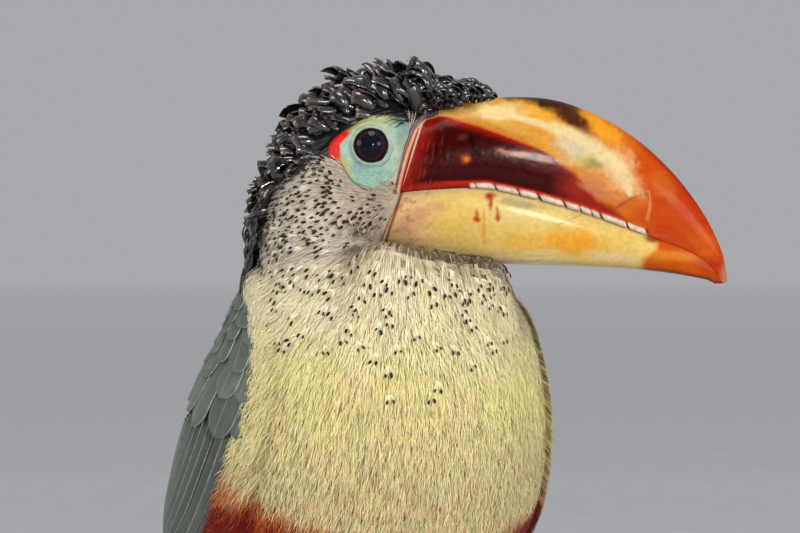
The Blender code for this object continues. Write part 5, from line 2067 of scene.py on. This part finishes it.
# ------------------------------------------------------------------ wings and tail

WING_DARK = (0.045, 0.052, 0.043)


def wing_spot(side, s, across, lift):
    """A place at share s down the folded wing and `across` it, lift mm above its surface."""
    ring, front, back, depth = np.moveaxis(rows_at(WING, np.asarray(s) * (len(WING) - 1)), -1, 0)
    angle = side * (front + (back - front) * across)
    edge = 0.2 + 0.8 * ease(across, 0, 0.28) * (1 - 0.55 * ease(across, 0.72, 1))
    row, column = row_of(ring), column_of(angle)
    height = (0.8 + depth * edge + lift) * MM
    return OUTLINE.place(row, column) + OUTLINE.normal(row, column) * height[..., None]


def add_quills(pile, side, feathers, green, rng, rows):
    """Whole flight feathers and coverts on the folded wing.

    Each has its root and tip as (share down the wing, share across), its width, lift, slope
    and tilt in mm, how dark it is, and how pointed.
    """
    columns = 9
    start, end, *rest = (np.array(values) for values in zip(*feathers))
    width, lift, slope, tilt, dark, point = (values[:, None, None] for values in rest)
    n = len(feathers)
    t = (1 - (1 - np.linspace(0, 1, rows)) ** 1.3)[None, :, None]
    b = np.linspace(-1, 1, columns)
    s, across = (
        (start[:, k, None, None] + (end - start)[:, k, None, None] * t) * np.ones(columns)
        for k in (0, 1)
    )
    nudge = 0.02
    here, there = wing_spot(side, s, across, 0.0), wing_spot(side, s, across + nudge, 0.0)
    per_mm = nudge / np.maximum(np.linalg.norm(there - here, axis=-1) / MM, 0.2)
    body = np.interp(t, (0, 0.15, 0.5, 0.8, 1), (0.5, 0.82, 1.0, 0.96, 0.0))
    tip = np.sqrt(np.clip(1 - ((t - 0.72) / 0.28) ** 2, 0.015, 1)) ** (0.75 + point)
    body = np.where(t > 0.72, 0.98 * tip, body)
    level = lift + tilt * b + slope * (t - 0.5) + 0.22 * (1 - b * b) + 0.12 * hump(b, 0, 0.12)
    wave = (rng.random((n, 1, 1)) - 0.5) * 0.3
    at = across + width * (body / 2 * b + 0.36 * np.sin(np.pi * t) * wave) * per_mm
    top, under = wing_spot(side, s, at, level), wing_spot(side, s, at, level - 0.24)
    strips = np.concatenate([top, under[:, :, ::-1]], axis=2)
    base = mix(green, WING_DARK, dark[:, 0]) * rng.uniform(0.78, 1.2, n)[:, None]
    # Each quill is painted darker at its root, a painted shade where the feathers over it overlap, and
    # lighter to its tip; its underside is a darker copy at 0.6, also painted shade.
    colours = base[:, None, None] * (0.62 + 0.48 * t[..., None]) * np.ones((1, rows, columns, 1))
    colours = np.concatenate([colours, colours * 0.6], axis=2)
    ring, front, back, _ = rows_at(WING, start[:, 0] * (len(WING) - 1)).T
    angle = side * (front + (back - front) * start[:, 1])
    pile.add(strips, colours, map_place(row_of(ring), column_of(angle)), closed=True)


# Rows of coverts from the shoulder: root, tip, count, width in mm.
COVERT_ROWS = (
    (0.05, 0.125, 6, 7.0), (0.075, 0.165, 7, 7.6), (0.105, 0.205, 7, 8.6), (0.14, 0.255, 8, 9.2),
    (0.18, 0.31, 9, 9.8), (0.225, 0.38, 9, 10.4),
)


def covert_rows(rng):
    """The feathers over the shoulder, in offset rows that grow towards the quills."""
    feathers = []
    for k, (root, tip, count, width) in enumerate(COVERT_ROWS):
        for j in range(count):
            share = (j + (0.3 if k % 2 else 0.7)) / count
            across = float(np.clip(share + rng.normal(0, 0.012), 0.03, 0.97))
            end = tip + rng.normal(0, 0.006) - 0.02 * abs(2 * share - 1)
            feathers.append((
                (root, across), (end, across + rng.normal(0, 0.01)), width * rng.uniform(0.95, 1.12),
                0.35 + 0.05 * j, 1.15, -0.22, 0.35 * rng.random() * (share < 0.9), 0.15,
            ))
    return feathers


def quill_rows(rng):
    """Secondaries over primaries, each laid beside and a little over the next."""
    feathers = []
    primaries, secondaries = 12, 17
    for j in range(primaries):
        share = j / (primaries - 1)
        root = (0.24 + 0.016 * j, 0.08 + 0.40 * share)
        end = (1.0 - 0.24 * (1 - share) - 0.02 * (j % 2), 0.09 + 0.46 * share)
        dark = 0.25 + 0.4 * (1 - share)
        feathers.append((root, end, 5.6, -1.0 + 0.11 * j, 0.3, -0.30, dark, 0.6))
    for j in range(secondaries):
        share = j / (secondaries - 1)
        root = (0.26 - 0.02 * share, 0.40 + 0.52 * share)
        end = (0.94 - 0.17 * share, 0.42 + 0.49 * share)
        dark = 0.1 + 0.3 * rng.random()
        feathers.append((root, end, 6.4, -0.55 + 0.085 * j, 0.5, -0.30, dark, 0.2))
    return feathers


def wing_shade_plate(side):
    """A thin dark plate under the feathers, a painted shadow in the gaps between them, so that no gap
    shows the body.
    """
    s, across = np.meshgrid(np.linspace(0.09, 0.95, 60), np.linspace(0.12, 0.88, 26), indexing="ij")
    top = wing_spot(side, s, across, -1.5)
    under = wing_spot(side, s, across, -4.0)
    return np.concatenate([top, under[:, ::-1]], axis=1)[None]


def make_wing(settings, name, side):
    """One folded wing: coverts at the shoulder, then secondaries lying over the primaries."""
    rng = np.random.default_rng(50 + side)
    pile = Pile()
    # The plate under the quills is painted darker than the darkest feathers, as the shadow beneath
    # them.
    pile.add(wing_shade_plate(side), np.array(WING_DARK) * 0.5, [[0.5, 0.5]], closed=True)
    add_quills(pile, side, quill_rows(rng), settings.wing_colour, rng, 36)
    add_quills(pile, side, covert_rows(rng), settings.wing_colour, rng, 18)
    nodes = [f"wing_{name}_{part}" for part in ("coverts", "secondaries", "primaries")]
    # The pale colour and strength of the painted highlight along each quill's edge.
    finish = quill_finish("wing_quills", (0.40, 0.44, 0.38), 0.85)
    return dress(pile.make(f"wing_{name}_feathers", finish), "wing_green", *nodes)


def quill_finish(name, edge, strength):
    """Slanting barbs either side of a shaft, with pale edges that are a painted highlight along each
    feather's rim.
    """
    finish = Finish(name, Sheen_Weight=0.15, Sheen_Roughness=0.4, Specular_IOR_Level=0.3)
    vane = finish.node("SeparateXYZ", finish.on_vane())
    aside = finish.math("ABSOLUTE", finish.math("SUBTRACT", vane.outputs["X"], 0.5))
    slant = finish.math("MULTIPLY_ADD", aside, -0.22, vane.outputs["Y"])
    across = finish.node("CombineXYZ", aside, slant).outputs[0]
    barbs = finish.noise(1 / MM, finish.stretched(across, (4, 120, 1)), 2.0)
    blotch = finish.noise(3)
    colour = finish.painted(finish.spread(barbs, 0.72, 1.28), finish.spread(blotch, 0.85, 1.15))
    # The pale rim along each feather's edge is a painted highlight, broken up by noise.
    rim = finish.spread(aside, 0.0, strength, 0.455, 0.492)
    rim_highlight = finish.math("MULTIPLY", rim, finish.spread(finish.noise(1.4), 0.35, 1.0))
    colour = finish.between(rim_highlight, colour, edge)
    shaft = finish.spread(aside, 0.6 * strength, 0.0, 0.006, 0.022)
    colour = finish.between(shaft, colour, tuple(0.6 * c for c in edge))
    return finish.done(colour, finish.spread(blotch, 0.46, 0.62), (barbs, 0.10, 0.65))


def tail_strip(side, order, rows, columns):
    """One tail feather as a closed strip, in the part's own place. side 0 lies over the middle."""
    length = TAIL_LENGTHS[order] - 3 * (side == 0)
    spread = math.radians(TAIL_SPREAD * order)
    t = np.linspace(0, 1, rows)[:, None]
    b = np.linspace(0, 1, columns)
    share = 1 - (1 - t) ** 1.3
    along = length * share
    root = 0.45 + 0.55 * ease(share, 0, 0.4)
    half = TAIL_VANE / 2 * root * np.sqrt(np.maximum(1 - ease(share, 0.86, 1.0) ** 2, 0.004))
    beside = 2 * half * (b - SHAFT_AT)
    if side:
        beside = 0.3 + order * TAIL_STEP + 2 * half * b + (TAIL_VANE - 2 * half) * 0.18
    x = TAIL_ROOT[0] + (side or 1) * math.cos(spread) * beside + side * math.sin(spread) * along
    y = TAIL_ROOT[1] - math.sin(spread) * beside + math.cos(spread) * along
    ridge = TAIL_ROOT[2] * (1 - along / TAIL_DROP) - order * (VANE_THICKNESS + VANE_GAP)
    low = np.maximum(ridge - TAIL_ROOF * x**2, 0) + 0.45 * (side == 0)
    rib = 0.24 * hump(b, SHAFT_AT, 0.05) * (1 - 0.7 * share)
    top = np.stack([x, y, low + VANE_THICKNESS * (1 - 0.55 * np.abs(2 * b - 1) ** 3) + rib], -1)
    under = np.stack([x, y, low], -1)
    return in_body(np.concatenate([top, under[:, ::-1]], axis=1)), share[:, 0], b


def make_tail(settings):
    """Ten graduated feathers and one over their middle, with shafts, barbs and darker tips."""
    rng = np.random.default_rng(61)
    pile = Pile()
    orders = range(len(TAIL_LENGTHS))
    for side, order in [*((side, order) for side in (-1, 1) for order in orders), (0, 0)]:
        strip, share, b = tail_strip(side, order, 90, 13)
        colour = mix(settings.tail_colour, (0.025, 0.034, 0.028), ease(share, 0.55, 1.0))
        colour = colour[:, None] * np.ones((1, 13, 1)) * rng.uniform(0.85, 1.15)
        top = mix(colour, (0.05, 0.035, 0.02), 0.6 * hump(b, SHAFT_AT, 0.045)[None, :, None])
        under = mix(colour, (0.10, 0.115, 0.075), np.array([[0.6]]))[:, ::-1]
        root = [[0.1 + 0.16 * order, 0.3 + 0.4 * (side > 0)]]
        pile.add(strip[None], np.concatenate([top, under], 1)[None], root, closed=True)
    nodes = [f"tail_{side}_{k + 1}" for side in ("left", "right") for k in orders]
    # The pale colour and strength of the painted highlight along each quill's edge.
    finish = quill_finish("tail_quills", (0.11, 0.14, 0.10), 0.6)
    return dress(pile.make("tail_feathers", finish), "tail_green", *nodes)


# ------------------------------------------------------------------ claws


def claw_finish():
    """Dark horn with fine grain along the claw."""
    finish = Finish("dark_claw", Coat_Weight=0.2)
    grain = finish.noise(0.5, finish.place((1, 1, 3)))
    share = finish.spread(grain, 0, 1)
    colour = finish.between(share, (0.030, 0.026, 0.022), (0.075, 0.065, 0.052))
    return finish.done(colour, finish.spread(grain, 0.28, 0.5), (grain, 0.05, 0.6))


def make_claws(name):
    """The four curved claws of one foot, smoothed and narrowed to their points."""
    nodes = [f"claw_{name}_{toe}" for toe in TOE_NAMES]
    claws = joined("claws_" + name, nodes, 0.0)
    rounder = claws.modifiers.new("rounder", "SUBSURF")
    rounder.levels = rounder.render_levels = 2
    apply_modifiers(claws)
    claws.data.shade_smooth()
    claws.data.materials.clear()
    claws.data.materials.append(claw_finish())
    return dress(claws, "claw_dark", *nodes)


# ------------------------------------------------------------------ stage

CAMERA_TURN = -22.0       # degrees from the body's front
FRAME_WIDTH = 216.0       # mm across the camera's view at the bird
SENSOR = 36.0             # mm
CAMERA_AWAY = 1500.0      # mm from the neck
FLOOR_RINGS = (0.4, 2.0, 40.0)  # metres
# Name, turn from the camera and rise in degrees, distance and width in metres, colour.
LAMPS = (
    ("key", 18, 8, 1.35, 0.15, (1.0, 0.97, 0.92)),
    ("top", 10, 74, 1.2, 0.6, (1.0, 0.99, 0.97)),
    ("fill", 52, 11, 1.3, 0.5, (0.94, 0.97, 1.0)),
    ("side", -72, 13, 1.3, 0.6, (1.0, 1.0, 1.0)),
)


def make_floor():
    """A wide pale disc, painted darker under the bird and lighter far out, as painted shade and
    painted light.
    """
    turns = 96
    rim = np.arange(turns) * 2 * np.pi / turns
    circle = np.stack([np.cos(rim), np.sin(rim), 0 * rim], -1)
    points = np.concatenate([*(circle * reach for reach in FLOOR_RINGS), np.zeros((1, 3))])
    middle = len(points) - 1
    faces = [(middle, k, (k + 1) % turns) for k in range(turns)]
    for ring in (0, turns):
        for k in range(turns):
            j = (k + 1) % turns
            faces.append((ring + k, ring + turns + k, ring + turns + j, ring + j))
    floor = finish_mesh("floor", points, faces, floor_finish())
    # The floor is painted darker near the bird and lighter far out: painted shade and painted light,
    # so that its edge fades into the room's light.
    shade = np.interp(np.linalg.norm(points, axis=1), FLOOR_RINGS, (0.62, 0.85, 1.0))
    paint(floor.data, shade[:, None] * np.ones(3))


def make_stage(settings):
    """A wide pale floor, soft lamps, and a level camera at the height of the bird's neck."""
    make_floor()
    scene = bpy.context.scene
    a = math.radians(CAMERA_TURN)
    depth = np.array([-math.sin(a), math.cos(a), 0])
    right = np.array([math.cos(a), math.sin(a), 0])
    gaze = HEAD / MM + right * 7.8 + UP * -32.3
    camera = bpy.data.objects.new("camera", bpy.data.cameras.new("camera"))
    scene.collection.objects.link(camera)
    camera.data.sensor_width = SENSOR
    camera.data.lens = SENSOR * CAMERA_AWAY / FRAME_WIDTH
    camera.data.clip_start = 0.05
    camera.location = (gaze - depth * CAMERA_AWAY) * MM
    camera.rotation_euler = (math.pi / 2, 0, a)
    scene.camera = camera
    target = Vector(HEAD) + Vector((0, 0, -0.03))
    for name, turn, lift, far, wide, light in LAMPS:
        lamp = bpy.data.lights.new(name, "AREA")
        lamp.shape = "DISK"
        lamp.size = wide
        lamp.energy = getattr(settings, name + "_power")
        lamp.color = light
        obj = bpy.data.objects.new(name, lamp)
        scene.collection.objects.link(obj)
        t, e = math.radians(CAMERA_TURN + turn), math.radians(lift)
        way = Vector((math.sin(t) * math.cos(e), -math.cos(t) * math.cos(e), math.sin(e)))
        obj.location = target + way * far
        obj.rotation_euler = (-way).to_track_quat("-Z", "Y").to_euler()
    world = bpy.data.worlds.new("studio")
    world.use_nodes = True
    room = world.node_tree.nodes["Background"].inputs
    room["Color"].default_value = (0.93, 0.95, 1.0, 1)
    room["Strength"].default_value = settings.room_light
    scene.world = world
    scene.view_settings.view_transform = "Standard"


def floor_finish():
    """Pale matt paper with a faint speckle."""
    finish = Finish("pale_floor", Specular_IOR_Level=0.1)
    speck = finish.noise(20, None, 1.0)
    colour = finish.painted(finish.spread(speck, 0.94, 1.0))
    return finish.done(colour, finish.spread(speck, 0.85, 0.95))


# ------------------------------------------------------------------ settings and operators


def metres(name, value, text):
    return bpy.props.FloatProperty(
        name=name, default=value, description=text, unit="LENGTH", subtype="DISTANCE",
        min=0.0001, precision=4,
    )


def watts(name, value, text):
    return bpy.props.FloatProperty(name=name, default=value, description=text, unit="POWER", min=0)


def tint(name, value, text):
    return bpy.props.FloatVectorProperty(
        name=name, default=value, description=text, subtype="COLOR", size=3, min=0, max=1
    )


class AracariSettings(bpy.types.PropertyGroup):
    cheek_colour: tint("Cheek", (0.51, 0.45, 0.36), "The pale feathers of the face")
    throat_colour: tint("Throat", (0.50, 0.36, 0.25), "The thin pink feathers by the mouth")
    neck_colour: tint("Neck", (0.86, 0.77, 0.50), "The cream feathers of the neck")
    breast_colour: tint("Breast", (0.80, 0.71, 0.30), "The yellow of the upper breast")
    straw_colour: tint("Straw", (0.77, 0.66, 0.31), "The darker yellow mixed into the breast")
    pale_colour: tint("Lower breast", (0.72, 0.61, 0.33), "The paler yellow of the lower breast")
    band_colour: tint("Red band", (0.21, 0.006, 0.003), "The band across the belly")
    flame_colour: tint("Orange fringe", (0.52, 0.10, 0.013), "The upper fringe of the red band")
    belly_colour: tint("Belly", (0.66, 0.47, 0.10), "The yellow of the belly and vent")
    black_colour: tint("Black", (0.006, 0.005, 0.005), "The crest, the nape and the points")
    mantle_colour: tint("Mantle", (0.20, 0.012, 0.008), "The dark red of the upper back")
    back_colour: tint("Back", (0.035, 0.060, 0.040), "The dark green of the back")
    rump_colour: tint("Rump", (0.32, 0.020, 0.010), "The red of the rump")
    thigh_colour: tint("Thighs", (0.085, 0.115, 0.045), "The green of the thighs")
    wing_colour: tint("Wings", (0.080, 0.096, 0.074), "The grey-green of the wing feathers")
    tail_colour: tint("Tail", (0.040, 0.062, 0.040), "The dark green of the tail")
    leg_colour: tint("Legs", (0.16, 0.20, 0.165), "The grey-green of the shanks and toes")
    orbit_colour: tint("Eye skin", (0.36, 0.55, 0.44), "The turquoise skin round the eye")
    crescent_colour: tint("Crescent", (0.72, 0.016, 0.006), "The red spot behind the eye")
    iris_colour: tint("Iris", (0.020, 0.008, 0.006), "The brown ring of the eye")
    pupil_colour: tint("Pupil", (0.003, 0.004, 0.009), "The dark middle of the eye")
    panel_colour: tint("Panel", (0.072, 0.004, 0.003), "The deepest red of the upper bill")
    bill_colour: tint("Lower bill", (0.75, 0.52, 0.28), "The ivory at the lower bill's base")
    cheek_feather: metres("Cheek feather", 0.0046, "Length of the dotted feathers on the cheeks")
    breast_feather: metres("Breast feather", 0.0068, "Length of the strands on the breast")
    belly_feather: metres("Belly feather", 0.0105, "Length of the loose strands on the belly")
    back_feather: metres("Back feather", 0.0105, "Length of the feathers on the back")
    thigh_feather: metres("Thigh feather", 0.0062, "Length of the strands on the thighs")
    thigh_coat: metres("Thigh coat", 0.0016, "Depth of the feathers on the thighs")
    curl_length: metres("Curl length", 0.0105, "Length of a curled flake on the crown")
    curl_width: metres("Curl width", 0.0026, "Width of a curled flake")
    curl_spacing: metres("Curl spacing", 0.0021, "Distance between the curls' roots")
    eye_radius: metres("Eye radius", 0.0056, "Radius of the eyeball")
    eye_opening: metres("Eye opening", 0.0044, "Radius of the opening between the lids")
    key_power: watts("Key lamp", 10.0, "Power of the lamp near the camera")
    top_power: watts("Top lamp", 8.0, "Power of the lamp above")
    fill_power: watts("Fill lamp", 6.5, "Power of the lamp beside the bill")
    side_power: watts("Side lamp", 6.5, "Power of the lamp beside the wing")
    room_light: bpy.props.FloatProperty(
        name="Room light", default=0.42, min=0, description="Strength of the light all round"
    )


class Maker:
    """What every operator here shares."""

    bl_options = {"REGISTER", "UNDO"}

    @classmethod
    def poll(cls, context):
        return context.mode == "OBJECT"


class ARACARI_OT_stage(Maker, bpy.types.Operator):
    """Make the floor, the lamps and the camera"""

    bl_idname = "aracari.stage"
    bl_label = "Stage"

    def execute(self, context):
        make_stage(context.scene.aracari)
        return {"FINISHED"}


class ARACARI_OT_skin(Maker, bpy.types.Operator):
    """Make the one skin from the tail to the bill and down to the toes"""

    bl_idname = "aracari.skin"
    bl_label = "Skin"

    def execute(self, context):
        make_skin(context.scene.aracari)
        return {"FINISHED"}


class ARACARI_OT_coat(Maker, bpy.types.Operator):
    """Make the feathers of the face, neck, breast, belly, back and thighs"""

    bl_idname = "aracari.coat"
    bl_label = "Coat"

    def execute(self, context):
        settings = context.scene.aracari
        make_face_coat(settings)
        make_neck_coat(settings)
        make_breast_coat(settings, "coat_breast_left", 1)
        make_breast_coat(settings, "coat_breast_right", -1)
        make_belly_coat(settings)
        make_back_coat(settings)
        make_thigh_coat(settings, "coat_thigh_left", 1)
        make_thigh_coat(settings, "coat_thigh_right", -1)
        return {"FINISHED"}


class ARACARI_OT_crest(Maker, bpy.types.Operator):
    """Make the black curls over the crown and nape"""

    bl_idname = "aracari.crest"
    bl_label = "Crest"

    def execute(self, context):
        make_crest(context.scene.aracari)
        return {"FINISHED"}


class ARACARI_OT_eyes(Maker, bpy.types.Operator):
    """Make both eyes and the bare skin round them"""

    bl_idname = "aracari.eyes"
    bl_label = "Eyes"

    def execute(self, context):
        settings = context.scene.aracari
        for name, side in (("left", 1), ("right", -1)):
            make_eye(settings, name, side)
            make_orbit(settings, name, side)
        return {"FINISHED"}


class ARACARI_OT_bill(Maker, bpy.types.Operator):
    """Make the upper and lower bill, with the teeth along the cutting edge"""

    bl_idname = "aracari.bill"
    bl_label = "Bill"

    def execute(self, context):
        settings = context.scene.aracari
        make_bill(settings, "bill_top", True, "bill_maroon", "bill_upper")
        make_bill(settings, "bill_bottom", False, "bill_yellow", "bill_lower")
        return {"FINISHED"}


class ARACARI_OT_wings(Maker, bpy.types.Operator):
    """Make the feathers of both folded wings and of the tail"""

    bl_idname = "aracari.wings"
    bl_label = "Wings and tail"

    def execute(self, context):
        settings = context.scene.aracari
        make_wing(settings, "left", 1)
        make_wing(settings, "right", -1)
        make_tail(settings)
        return {"FINISHED"}


class ARACARI_OT_claws(Maker, bpy.types.Operator):
    """Make the claws of both feet"""

    bl_idname = "aracari.claws"
    bl_label = "Claws"

    def execute(self, context):
        make_claws("left")
        make_claws("right")
        return {"FINISHED"}


MAKERS = (
    ARACARI_OT_stage, ARACARI_OT_skin, ARACARI_OT_coat, ARACARI_OT_crest, ARACARI_OT_eyes,
    ARACARI_OT_bill, ARACARI_OT_wings, ARACARI_OT_claws,
)


class ARACARI_PT_panel(bpy.types.Panel):
    """Sizes, lamps and a button for each piece"""

    bl_label = "Aracari"
    bl_idname = "ARACARI_PT_panel"
    bl_space_type = "VIEW_3D"
    bl_region_type = "UI"
    bl_category = "Aracari"

    def draw(self, context):
        column = self.layout.column(align=True)
        for name in AracariSettings.__annotations__:
            column.prop(context.scene.aracari, name)
        for maker in MAKERS:
            self.layout.operator(maker.bl_idname)


def register():
    for made in (AracariSettings, *MAKERS, ARACARI_PT_panel):
        bpy.utils.register_class(made)
    bpy.types.Scene.aracari = bpy.props.PointerProperty(type=AracariSettings)


def unregister():
    del bpy.types.Scene.aracari
    for made in reversed((AracariSettings, *MAKERS, ARACARI_PT_panel)):
        bpy.utils.unregister_class(made)


def main():
    register()
    for maker in MAKERS:
        group, name = maker.bl_idname.split(".")
        result = getattr(getattr(bpy.ops, group), name)()
        if result != {"FINISHED"}:
            raise RuntimeError(f"{maker.bl_label} wasn't made")


if __name__ == "__main__":
    main()
